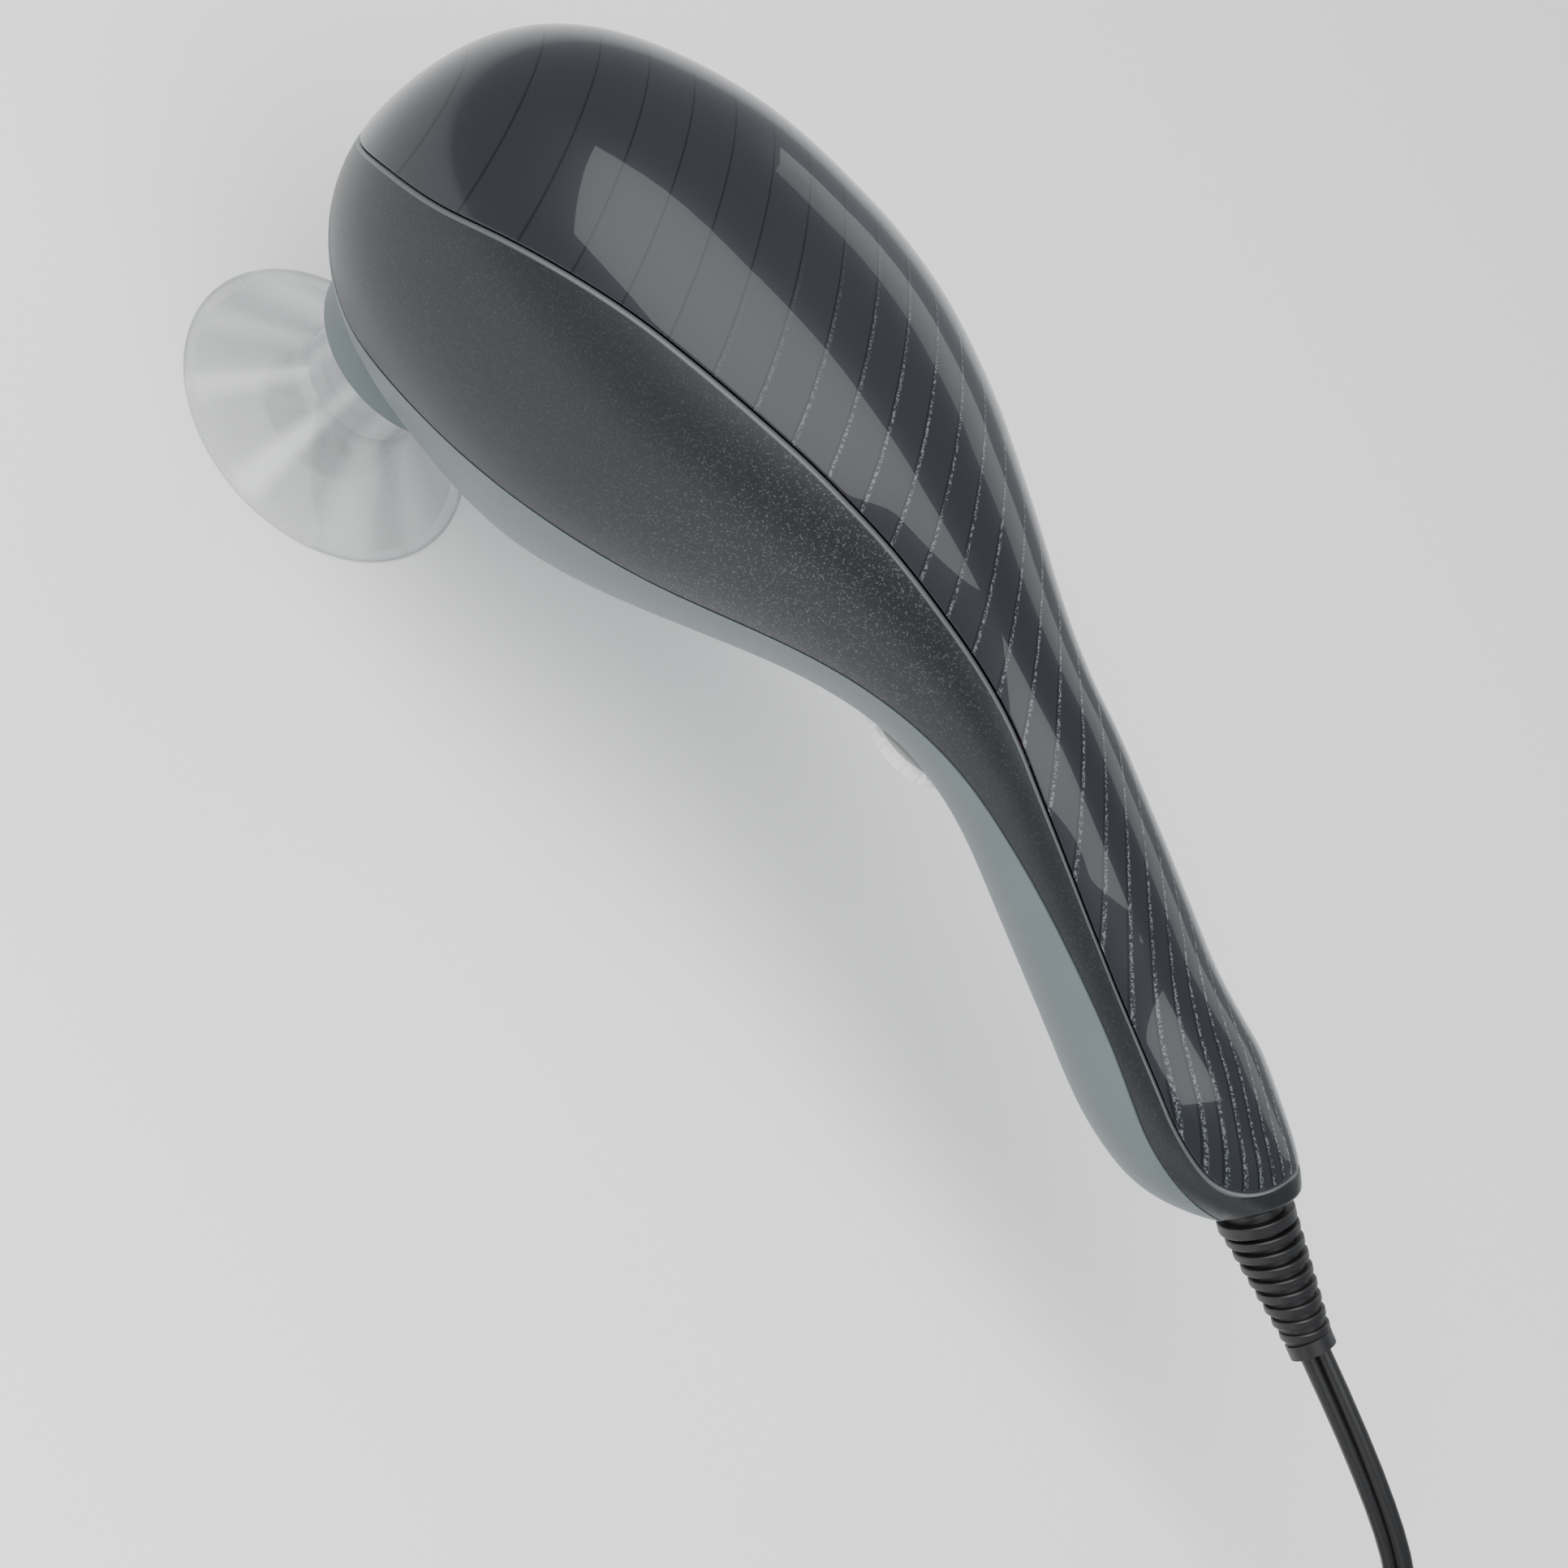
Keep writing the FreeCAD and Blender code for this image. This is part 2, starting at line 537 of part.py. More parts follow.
def ball_bearing(bore, outer, low, high, x=0.0):
    """Two races with their balls between."""
    band = (outer - bore) * 0.3
    middle = (outer + bore) / 2
    ball = (outer - bore) * 0.24
    centre = (low + high) / 2
    track = Part.makeTorus(middle, ball, V(x, 0, centre))
    races = [washer(bore, bore + band, low, high, x).cut(track),
             washer(outer - band, outer, low, high, x).cut(track)]
    count = int(math.pi * middle / ball * 0.8)
    balls = [Part.makeSphere(ball, V(*polar(middle, 360 * k / count, x), centre)) for k in range(count)]
    return races + balls


def crank_bearing():
    low = CARRIER_BOSS_TOP - CRANK_BEARING[2]
    return group(ball_bearing(CRANK_BEARING[0] + RUN, CRANK_BEARING[1], low, CARRIER_BOSS_TOP))


def anti_turn_pins():
    return group([rod(PIN_R, COLLAR_TOP - PIN_DEPTH, PIN_TOP, x, y) for x, y in pin_points()])


def crank_hub():
    """Turns on the motor shaft; its pin stands off-centre in the crank bearing."""
    pin = rod(CRANK_BEARING[0], CARRIER_BOSS_TOP - CRANK_BEARING[2] + 0.3, HUB_BOTTOM)
    hub = join(rod(HUB_R, HUB_BOTTOM, HUB_TOP, DRIVE_X), pin)
    return hub.cut(rod(SHAFT_R, HUB_BOTTOM + 1.2, HUB_TOP + 1, DRIVE_X))


def counterweight():
    """Half ring opposite the crank pin."""
    ring = washer(HUB_R, WEIGHT_R, HUB_BOTTOM + 0.4, HUB_TOP, DRIVE_X)
    half = block((DRIVE_X, -WEIGHT_R, 0), (DRIVE_X + WEIGHT_R + 1, WEIGHT_R, REACH / 2))
    return ring.common(half)


def cooling_fan():
    top = FAN_BOTTOM + FAN_HEIGHT
    fan = [rod(FAN_R, FAN_BOTTOM, FAN_BOTTOM + 1.2, DRIVE_X), rod(5.5, FAN_BOTTOM, top, DRIVE_X)]
    for k in range(10):
        blade = block((5.0, -0.6, FAN_BOTTOM), (FAN_R - 0.5, 0.6, top))
        blade.rotate(V(0, 0, 0), Z_AXIS, 36 * k)
        blade.translate(V(DRIVE_X, 0, 0))
        fan.append(blade)
    return join(*fan).cut(rod(SHAFT_R, FAN_BOTTOM - 1, top + 1, DRIVE_X))


# ---------------------------------------------------------------- motor and its frame
def motor_shaft():
    return rod(SHAFT_R, HUB_BOTTOM + 1.2, MOTOR_TOP + END_CAP_HEIGHT + 2.0, DRIVE_X)


BEARING_BOSS_R = MOTOR_BEARING[1] + 1.2
FACE_BEARING_LOW = MOTOR_BOTTOM - 1.5
CAP_BEARING_LOW = MOTOR_TOP - 1.0


def motor_can():
    """Drawn steel can: front face with a boss for the lower bearing."""
    can = washer(MAGNET_R, MOTOR_R, MOTOR_BOTTOM, MOTOR_TOP, DRIVE_X)
    face = rod(MOTOR_R, MOTOR_BOTTOM, MOTOR_BOTTOM + CAN_WALL, DRIVE_X)
    boss = rod(BEARING_BOSS_R, FACE_BEARING_LOW, FACE_BEARING_LOW + MOTOR_BEARING[2], DRIVE_X)
    can = join(can, face, boss).cut(rod(MOTOR_BEARING[1], FACE_BEARING_LOW, MOTOR_TOP, DRIVE_X))
    can = can.cut(rod(SHAFT_R + 0.8, FACE_BEARING_LOW - 1, MOTOR_TOP, DRIVE_X))
    for x, y in motor_screw_points():
        can = can.cut(rod(MOTOR_SCREW_R, MOTOR_BOTTOM - 1, MOTOR_BOTTOM + CAN_WALL + 1, x, y))
    return can


def motor_screw_points():
    return [polar(MOTOR_SCREW_CIRCLE_R, angle, DRIVE_X) for angle in (90, 270)]


def motor_magnets():
    ring = washer(MAGNET_R - MAGNET_THICKNESS, MAGNET_R, MOTOR_BOTTOM + 4, MOTOR_TOP - 6, DRIVE_X)
    gap = block((DRIVE_X - 4, -MOTOR_R, 0), (DRIVE_X + 4, MOTOR_R, REACH / 2))
    return ring.cut(gap)


def motor_bearings():
    bore, outer, width = MOTOR_BEARING
    lower = ball_bearing(bore + RUN, outer, FACE_BEARING_LOW + 0.4, FACE_BEARING_LOW + width, DRIVE_X)
    upper = ball_bearing(bore + RUN, outer, CAP_BEARING_LOW, CAP_BEARING_LOW + width, DRIVE_X)
    return group(lower + upper)


def motor_end_cap():
    high = MOTOR_TOP + END_CAP_HEIGHT
    cap = join(rod(MOTOR_R, MOTOR_TOP, high, DRIVE_X), rod(MAGNET_R, MOTOR_TOP - 3, MOTOR_TOP, DRIVE_X),
               rod(BEARING_BOSS_R, high, high + 1.6, DRIVE_X))
    cap = cap.cut(rod(MAGNET_R - 1.6, MOTOR_TOP - 4, MOTOR_TOP - 1, DRIVE_X))
    cap = cap.cut(rod(MOTOR_BEARING[1], MOTOR_TOP - 4, CAP_BEARING_LOW + MOTOR_BEARING[2], DRIVE_X))
    cap = cap.cut(rod(SHAFT_R + 0.8, MOTOR_TOP, REACH / 2, DRIVE_X))
    terminals = [block((DRIVE_X + 11.5, y - 0.4, high), (DRIVE_X + 15.5, y + 0.4, high + 4)) for y in (-6, 6)]
    return join(cap, *terminals)


COMMUTATOR_TOP = MOTOR_TOP - 2.0
COMMUTATOR_HEIGHT = 8.0
WINDING_HEIGHT = 4.0


def commutator():
    low = COMMUTATOR_TOP - COMMUTATOR_HEIGHT
    return washer(SHAFT_R, COMMUTATOR_R, low, COMMUTATOR_TOP, DRIVE_X)


def motor_brushes():
    """Carbon blocks either side of the commutator, each on a spring arm from the end cap."""
    low, high = COMMUTATOR_TOP - 6, COMMUTATOR_TOP - 1.5
    brushes = []
    for side in (-1, 1):
        near, far = side * (COMMUTATOR_R + RUN), side * (COMMUTATOR_R + 7)
        carbon = block((DRIVE_X - 2, min(near, far), low), (DRIVE_X + 2, max(near, far), high))
        root = far - side * 1.2
        arm = block((DRIVE_X - 1.5, min(far, root), high), (DRIVE_X + 1.5, max(far, root), MOTOR_TOP - 1))
        brushes.append(join(carbon, arm))
    return group(brushes)


ARMATURE_LOW = MOTOR_BOTTOM + 7.0
ARMATURE_SLOTS = 7
SLOT_R = 2.6
SLOT_CIRCLE_R = ARMATURE_R - 4.4
SLIT = 0.6                  # half the width of the slit that opens each slot
ARMATURE_HIGH = COMMUTATOR_TOP - COMMUTATOR_HEIGHT - WINDING_HEIGHT - 0.5


def armature_core():
    core = washer(SHAFT_R, ARMATURE_R, ARMATURE_LOW, ARMATURE_HIGH, DRIVE_X)
    for k in range(ARMATURE_SLOTS):
        angle = 360 * k / ARMATURE_SLOTS
        x, y = polar(SLOT_CIRCLE_R, angle, DRIVE_X)
        core = core.cut(rod(SLOT_R, ARMATURE_LOW - 1, ARMATURE_HIGH + 1, x, y))
        slit = block((SLOT_CIRCLE_R, -SLIT, ARMATURE_LOW - 1), (ARMATURE_R + 2, SLIT, ARMATURE_HIGH + 1))
        slit.rotate(V(0, 0, 0), Z_AXIS, angle)
        slit.translate(V(DRIVE_X, 0, 0))
        core = core.cut(slit)
    return core


def armature_windings():
    """Copper in the slots, tied by an end turn above and below the core."""
    coils = [washer(SHAFT_R + 1.5, ARMATURE_R - 1.2, ARMATURE_LOW - WINDING_HEIGHT, ARMATURE_LOW, DRIVE_X),
             washer(SHAFT_R + 1.5, ARMATURE_R - 1.2, ARMATURE_HIGH, ARMATURE_HIGH + WINDING_HEIGHT, DRIVE_X)]
    for k in range(ARMATURE_SLOTS):
        x, y = polar(SLOT_CIRCLE_R, 360 * k / ARMATURE_SLOTS, DRIVE_X)
        coils.append(rod(SLOT_R - 2 * RUN, ARMATURE_LOW, ARMATURE_HIGH, x, y))
    return join(*coils)


def motor_frame():
    """Plate on four legs that carries the motor above the crank."""
    plate = rod(LEG_CIRCLE_R + LEG_R + 2, FRAME_BOTTOM, FRAME_TOP, DRIVE_X).common(CLEAR_INSIDE)
    legs = [rod(LEG_R, LEG_BOTTOM, FRAME_TOP, x, y).common(CLEAR_INSIDE) for x, y in frame_points()]
    frame = join(plate, *legs).cut(rod(BEARING_BOSS_R + 0.2, FRAME_BOTTOM - 1, FRAME_TOP + 1, DRIVE_X))
    for x, y in frame_points():
        frame = frame.cut(rod(FRAME_SCREW_R + 0.3, LEG_BOTTOM - 1, FRAME_TOP + 1, x, y))
    for x, y in motor_screw_points():
        frame = frame.cut(rod(MOTOR_SCREW_R + 0.2, FRAME_BOTTOM - 1, FRAME_TOP + 1, x, y))
    for x, y, thread in screw_places():
        frame = frame.cut(rod(BOSS_R + LEG_GAP, 0, REACH / 2, x, y))
    return frame


def vibration_grommets():
    return group([washer(FRAME_SCREW_R + 0.3, LEG_R, BOSS_TOP, LEG_BOTTOM, x, y).common(CLEAR_INSIDE)
                  for x, y in frame_points()])


def frame_screws():
    radius, height = FRAME_SCREW_HEAD
    return group([join(rod(radius, FRAME_TOP, FRAME_TOP + height, x, y),
                       rod(FRAME_SCREW_R, frame_screw_tip(x, y), FRAME_TOP, x, y)) for x, y in frame_points()])


def motor_screws():
    radius, height = MOTOR_SCREW_HEAD
    return group([join(rod(radius, FRAME_BOTTOM - height, FRAME_BOTTOM, x, y),
                       rod(MOTOR_SCREW_R, FRAME_BOTTOM, MOTOR_BOTTOM + CAN_WALL, x, y))
                  for x, y in motor_screw_points()])


# ---------------------------------------------------------------- dial and control board
BOARD_SCREW_R = 1.2
BOARD_BOSS_R = 3.4
BOARD_LOW = WALL + FREE + POT_HEIGHT


def dial_frame():
    return FreeCAD.Placement(V(DIAL_X, 0, DIAL_SEAT_Z), FreeCAD.Rotation(Y_AXIS, -DIAL_TILT))


def in_dial_frame(shape):
    """Move a shape from the dial's own frame: its seat at z = 0, its axis along Z."""
    shape.Placement = dial_frame().multiply(shape.Placement)
    return shape


def board_screw_places():
    return [BOARD_SHIFT - BOARD[0] / 2 + 4.5, BOARD_SHIFT + BOARD[0] / 2 - 4.0]


def dial_knob():
    high = -DIAL_GAP
    low = high - DIAL_THICKNESS
    knob = rod(DIAL_R, low, high)
    knob = knob.makeChamfer(0.8, [e for e in knob.Edges if e.BoundBox.ZLength < 0.01])
    for k in range(DIAL_FLUTES):
        flute = polar(DIAL_R + DIAL_FLUTE_R / 2, 360 * k / DIAL_FLUTES)
        knob = knob.cut(rod(DIAL_FLUTE_R, low - 1, high + 1, *flute))
    knob = knob.cut(rod(SPINDLE_R, low + SPINDLE_SOCKET, high + 1))
    pointer = block((DIAL_R - 7, -0.7, low - 1), (DIAL_R - 2.4, 0.7, low + 0.6))
    return in_dial_frame(knob.cut(pointer))


def dial_spindle():
    low = SPINDLE_SOCKET - DIAL_GAP - DIAL_THICKNESS
    return in_dial_frame(rod(SPINDLE_R, low, BOARD_LOW - SPINDLE_SOCKET))


def potentiometer():
    pot = rod(POT_R, BOARD_LOW - POT_HEIGHT, BOARD_LOW)
    return in_dial_frame(pot.cut(rod(SPINDLE_R + RUN, 0, BOARD_LOW - 1.0)))


def control_board():
    long, wide, thick = BOARD
    high = BOARD_LOW + thick
    board = block((BOARD_SHIFT - long / 2, -wide / 2, BOARD_LOW), (BOARD_SHIFT + long / 2, wide / 2, high))
    for x in board_screw_places():
        board = board.cut(rod(BOARD_SCREW_R + 0.2, BOARD_LOW - 1, high + 1, x))
    return in_dial_frame(board)


def board_components():
    top = BOARD_LOW + BOARD[2]
    front = BOARD_SHIFT - BOARD[0] / 2
    heat_sink = join(block((front + 11, -11, top), (front + 12.5, 3, top + 13)),
                     block((front + 12.5, -8, top + 2), (front + 16.5, 0, top + 11)))
    film_capacitor = block((front + 20, -9, top), (front + 33, -2, top + 9))
    choke = washer(2.5, 6.0, top, top + 6, front + 27, 6.5)
    terminal = block((front + 47, -9, top), (front + 54, 9, top + 8))
    return in_dial_frame(group([heat_sink, film_capacitor, choke, terminal]))


def board_screws():
    top = BOARD_LOW + BOARD[2]
    return in_dial_frame(group([join(rod(2.3, top, top + 1.6, x), rod(BOARD_SCREW_R, BOARD_LOW - 6, top, x))
                                for x in board_screw_places()]))


# ---------------------------------------------------------------- cord and its fittings
def in_cord_frame(shape):
    """Move a shape from the cord's own frame: x runs out along the cord from the end face."""
    cord_frame = FreeCAD.Placement(RELIEF_START, FreeCAD.Rotation(Y_AXIS, RELIEF_TILT))
    shape.Placement = cord_frame.multiply(shape.Placement)
    return shape


def along_cord(radius, first, last, end_radius=None):
    """Round bar or cone on the cord's axis, between two distances from the end face."""
    if end_radius is None:
        return Part.makeCylinder(radius, last - first, V(first, 0, 0), X_AXIS)
    return Part.makeCone(radius, end_radius, last - first, V(first, 0, 0), X_AXIS)


def cord_core():
    return in_cord_frame(along_cord(CORD_R, -CLAMP_BACK - CLAMP_WIDTH - CORD_TAIL_INSIDE, RELIEF_LENGTH))


def relief_hole():
    return in_cord_frame(along_cord(RELIEF_NECK_R + 0.1, -8, 8))


def strain_relief():
    """Flange inside the end wall, neck through it, and a tapering ribbed sleeve outside."""
    flange_face = -WALL - 1.4
    parts = [along_cord(RELIEF_FLANGE_R, flange_face - RELIEF_FLANGE, flange_face),
             along_cord(RELIEF_NECK_R, flange_face - 1, 3),
             along_cord(RELIEF_CORE_R[0], 2, RELIEF_LENGTH, RELIEF_CORE_R[1])]
    lean = math.radians(RELIEF_RING_TILT - RELIEF_TILT)
    normal = V(math.cos(lean), 0, -math.sin(lean))
    pitch = (RELIEF_LENGTH - RELIEF_FIRST_RING - RELIEF_LAST_RING) / RELIEF_RINGS
    for k in range(RELIEF_RINGS + 1):
        share = k / RELIEF_RINGS
        radius = RELIEF_R + (RELIEF_END_R - RELIEF_R) * share
        width = RELIEF_RING_WIDTHS[min(k, 1)]
        middle = V(RELIEF_FIRST_RING + pitch * k, 0, 0)
        ring = Part.makeCylinder(radius, width, middle - normal * (width / 2), normal)
        parts.append(ring.makeFillet(0.5, [e for e in ring.Edges if e.Curve.TypeId == "Part::GeomCircle"]))
    parts.append(along_cord(RELIEF_END_R - 0.3, RELIEF_LENGTH - 3.4, RELIEF_LENGTH))
    sleeve = in_cord_frame(join(*parts)).cut(end_wall_trim())
    return sleeve.cut(cord_core())


def end_wall_trim():
    """The end wall itself, less the neck's hole, so that the first ring seats on its face."""
    return OUTSIDE.cut(INSIDE).cut(relief_hole())


def cord_inner():
    return cord_core()


def clamp_block(low, high):
    back = -CLAMP_BACK - CLAMP_WIDTH / 2
    return block((back, -CLAMP_HALF_SPAN, low), (back + CLAMP_WIDTH, CLAMP_HALF_SPAN, high))


def clamp_screw_holes():
    return [rod(BOARD_SCREW_R, -9, 8, -CLAMP_BACK, y) for y in (-CLAMP_SCREW_Y, CLAMP_SCREW_Y)]


def cord_clamp():
    bar = clamp_block(SEAM, CLAMP_HEIGHT)
    for hole in clamp_screw_holes():
        bar = bar.cut(hole)
    return in_cord_frame(bar).cut(cord_core()).common(CLEAR_INSIDE)


def clamp_screws():
    top = CLAMP_HEIGHT
    return in_cord_frame(group([join(rod(2.2, top, top + 1.5, -CLAMP_BACK, y),
                                     rod(BOARD_SCREW_R, -8, top, -CLAMP_BACK, y))
                                for y in (-CLAMP_SCREW_Y, CLAMP_SCREW_Y)]))


LEAD_R = 1.0


def leads():
    """Two pairs of insulated wires: cord to board, and board to motor."""
    board = BOARD_LOW + BOARD[2]
    inlet = RELIEF_START - RELIEF_AXIS * (CLAMP_BACK + CLAMP_WIDTH + CORD_TAIL_INSIDE)
    front = dial_frame().multVec(V(BOARD_SHIFT - BOARD[0] / 2 + 7, 0, board + 0.4))
    back = dial_frame().multVec(V(BOARD_SHIFT + BOARD[0] / 2 - 7.5, 0, board + 6))
    terminal = V(DRIVE_X + 13.5, 0, MOTOR_TOP + END_CAP_HEIGHT + 4)
    mains, motor = [], []
    for side in (-1, 1):
        mains_route = [(back.x, side * 3, back.z), (back.x + 14, side * 3, back.z + 4), (195, side * 3, 106),
                       (inlet.x - 12, side * 2.2, inlet.z + 4), (inlet.x - 0.8, side * 1.6, inlet.z)]
        motor_route = [(front.x, side * 6, front.z), (front.x - 3, side * 6, front.z + 10),
                       (80, side * 7, 121), (50, side * 7, 130),
                       (terminal.x + 14, side * 6.5, terminal.z + 7),
                       (terminal.x + 1, side * 6, terminal.z + 6), (terminal.x, side * 6, terminal.z + 0.3)]
        mains.append(tube(mains_route, LEAD_R)[0])
        motor.append(tube(motor_route, LEAD_R)[0])
    return group(mains), group(motor)


def coil_size():
    pitch = 2 * CORD_R
    reach = pitch * (COIL_TURNS_ACROSS - 1) / 2
    return COIL_MID_R - reach, COIL_MID_R + reach, pitch * COIL_LAYERS


def cord_coil():
    """Outer shape of the put-away length, wound flat on the floor."""
    inner, outer, height = coil_size()
    ring = washer(inner - CORD_R, outer + CORD_R, 0, height, *COIL_CENTRE)
    return ring.makeFillet(CORD_R - 0.4, [e for e in ring.Edges if e.Curve.TypeId == "Part::GeomCircle"])


def plug_frame():
    """Origin at the back of the plug, x towards the blades."""
    before, end = V(*TAIL_ROUTE[-2]), V(*TAIL_ROUTE[-1])
    heading = math.degrees(math.atan2(end.y - before.y, end.x - before.x))
    return FreeCAD.Placement(end, FreeCAD.Rotation(Z_AXIS, heading))


def plug_body():
    back, thin, thick = PLUG_RELIEF
    relief = Part.makeCone(thin, thick, back + 2, V(0, 0, 0), X_AXIS)
    tall = min(PLUG[2], 2 * TAIL_ROUTE[-1][2])
    grip = block((back, -PLUG[1] / 2, -tall / 2), (back + PLUG[0], PLUG[1] / 2, tall / 2))
    grip = grip.makeFillet(PLUG_ROUND, [e for e in grip.Edges if e.BoundBox.XLength > 1])
    body_shape = join(relief, grip)
    body_shape.Placement = plug_frame()
    return body_shape


def plug_blades():
    start = PLUG_RELIEF[0] + PLUG[0]
    blades = []
    for side in (-1, 1):
        y = side * BLADE_PITCH / 2
        long, wide, thick = BLADE
        blade = block((start, y - thick / 2, -wide / 2), (start + long, y + thick / 2, wide / 2))
        hole = V(start + BLADE[0] - BLADE_HOLE[1], y - BLADE[2], 0)
        blades.append(blade.cut(Part.makeCylinder(BLADE_HOLE[0], 2 * BLADE[2], hole, Y_AXIS)))
    both = group(blades)
    both.Placement = plug_frame()
    return both


# ---------------------------------------------------------------- assembly
def build():
    lead, lead_radii, lead_length = tube([tuple(RELIEF_TIP)] + LEAD_ROUTE, CORD_R)
    tail, tail_radii, tail_length = tube(TAIL_ROUTE, CORD_R)
    coiled = CORD_LENGTH - lead_length - tail_length
    section = math.pi * CORD_R ** 2
    for name, radii, length, solid in (("lead", lead_radii, lead_length, lead),
                                       ("tail", tail_radii, tail_length, tail)):
        print(name, "radii", [round(r, 1) for r in radii], "length", round(length, 1),
              "volume over section times length", round(solid.Volume / (section * length), 4))
    print("coiled length", round(coiled, 1), "turns", round(coiled / (2 * math.pi * COIL_MID_R), 2))
    mains_leads, motor_leads = leads()
    return {
        "top_cover": top_cover(), "upper_housing": upper_housing(), "lower_shell": lower_shell(),
        "housing_screws": housing_screws(), "collar_seal": collar_seal(),
        "disc_cup": disc_cup(), "disc_face": disc_face(),
        "output_post": output_post(), "o_ring": o_ring(), "post_screw": post_screw(),
        "stem_carrier": stem_carrier(), "crank_bearing": crank_bearing(), "anti_turn_pins": anti_turn_pins(),
        "crank_hub": crank_hub(), "counterweight": counterweight(), "cooling_fan": cooling_fan(),
        "motor_shaft": motor_shaft(), "armature_core": armature_core(),
        "armature_windings": armature_windings(), "commutator": commutator(),
        "motor_can": motor_can(), "motor_magnets": motor_magnets(), "motor_end_cap": motor_end_cap(),
        "motor_brushes": motor_brushes(), "motor_bearings": motor_bearings(),
        "motor_frame": motor_frame(), "vibration_grommets": vibration_grommets(),
        "frame_screws": frame_screws(), "motor_screws": motor_screws(),
        "dial_knob": dial_knob(), "dial_spindle": dial_spindle(), "potentiometer": potentiometer(),
        "control_board": control_board(), "board_components": board_components(),
        "board_screws": board_screws(),
        "mains_leads": mains_leads, "motor_leads": motor_leads,
        "strain_relief": strain_relief(), "cord_inner": cord_inner(), "cord_clamp": cord_clamp(),
        "clamp_screws": clamp_screws(), "cord_lead": lead, "cord_coil": cord_coil(), "cord_tail": tail,
        "plug_body": plug_body(), "plug_blades": plug_blades(),
    }


os.makedirs("parts", exist_ok=True)
for name, shape in build().items():
    print(name, "solids", len(shape.Solids), "valid", shape.isValid(), "volume", round(shape.Volume, 1))
    shape.exportStep("parts/" + name + ".step")
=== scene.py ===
"""Handheld wand massager: skins, finishes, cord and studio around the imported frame.

Every object is in metres, in the frame's own axes: +Z up the drive axis, +X along the handle to the cord.
Outlines are drawn in millimetres and brought to metres when a piece is made.
"""
import math

import bmesh
import bpy
from bpy.props import FloatProperty, FloatVectorProperty, IntProperty, PointerProperty
from mathutils import Matrix, Vector


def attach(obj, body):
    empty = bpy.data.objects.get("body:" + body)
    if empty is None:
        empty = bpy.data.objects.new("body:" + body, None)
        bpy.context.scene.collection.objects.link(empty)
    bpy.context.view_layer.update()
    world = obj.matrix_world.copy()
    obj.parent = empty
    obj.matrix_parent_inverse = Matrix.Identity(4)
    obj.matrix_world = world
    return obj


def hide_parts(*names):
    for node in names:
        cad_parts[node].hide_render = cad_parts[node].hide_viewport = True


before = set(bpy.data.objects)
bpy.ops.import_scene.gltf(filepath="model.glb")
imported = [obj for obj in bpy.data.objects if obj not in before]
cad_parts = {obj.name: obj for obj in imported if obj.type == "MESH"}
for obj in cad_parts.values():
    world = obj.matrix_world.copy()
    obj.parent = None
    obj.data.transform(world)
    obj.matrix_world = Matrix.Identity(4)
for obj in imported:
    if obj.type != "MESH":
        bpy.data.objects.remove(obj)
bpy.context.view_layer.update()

bl_info = {
    "name": "Wand massager",
    "version": (1, 0, 0),
    "blender": (4, 5, 0),
    "location": "View3D > Sidebar > Wand massager",
    "description": "Builds the skins, finishes, cord and studio of a handheld wand massager",
    "category": "Object",
}

MM = 0.001

# ---------------------------------------------------------------- body outline, in millimetres
HEAD_FRONT = 42.4           # drive axis to the nose of the head
HEAD_PEAK = 40.0            # drive axis to the fattest section
HEAD_HALF_HEIGHT = 57.8
HEAD_HALF_WIDTH = 51.8
NECK_END = 160.0
TAIL_START = 238.0
TAIL_END = 275.0
HANDLE_HALF_HEIGHT = 20.7
HANDLE_HALF_WIDTH = 20.4
NOSE_FULLNESS = 2.4         # exponents of the super-ellipses that round the two ends
TAIL_FULLNESS = 1.6
END_FACE = Vector((266.8, 0.0, 85.0))
END_FACE_TILT = math.radians(24.0)
SPINE = [(-43.0, 85.5), (-13.0, 88.2), (12.0, 92.6), (48.0, 98.4), (75.0, 105.0), (98.0, 110.7),
         (125.0, 113.9), (158.0, 110.2), (187.0, 101.6), (206.0, 95.2), (222.0, 90.0), (242.0, 86.7),
         (254.0, 86.3), (266.0, 88.5), (277.0, 91.5)]
COVER_LINE = [(-50.0, 60.0), (-42.0, 73.0), (-30.0, 90.5), (-13.0, 105.0), (0.0, 115.0), (14.0, 123.5),
              (36.0, 132.5), (58.0, 137.5), (80.0, 139.0), (102.0, 137.2), (127.0, 132.0), (156.0, 124.0),
              (187.0, 113.5), (206.0, 106.8), (222.0, 101.5), (238.0, 97.0), (251.0, 93.3), (259.0, 92.6),
              (264.5, 95.5), (267.4, 101.0), (268.5, 112.0)]
SHELL_LINE = [(-50.0, 70.0), (-42.0, 68.0), (-30.0, 64.5), (-19.0, 59.5), (-8.0, 58.5), (4.0, 62.4),
              (27.6, 71.2), (55.0, 82.0), (80.0, 90.2), (109.0, 102.0), (135.0, 108.5), (162.0, 109.5),
              (183.0, 106.5), (203.0, 101.5), (222.0, 95.6), (240.0, 89.3), (257.0, 84.4), (285.0, 80.0)]
RELIEF_HOLE = Vector((266.8, 0.0, 84.4))
RELIEF_HOLE_R = 6.9

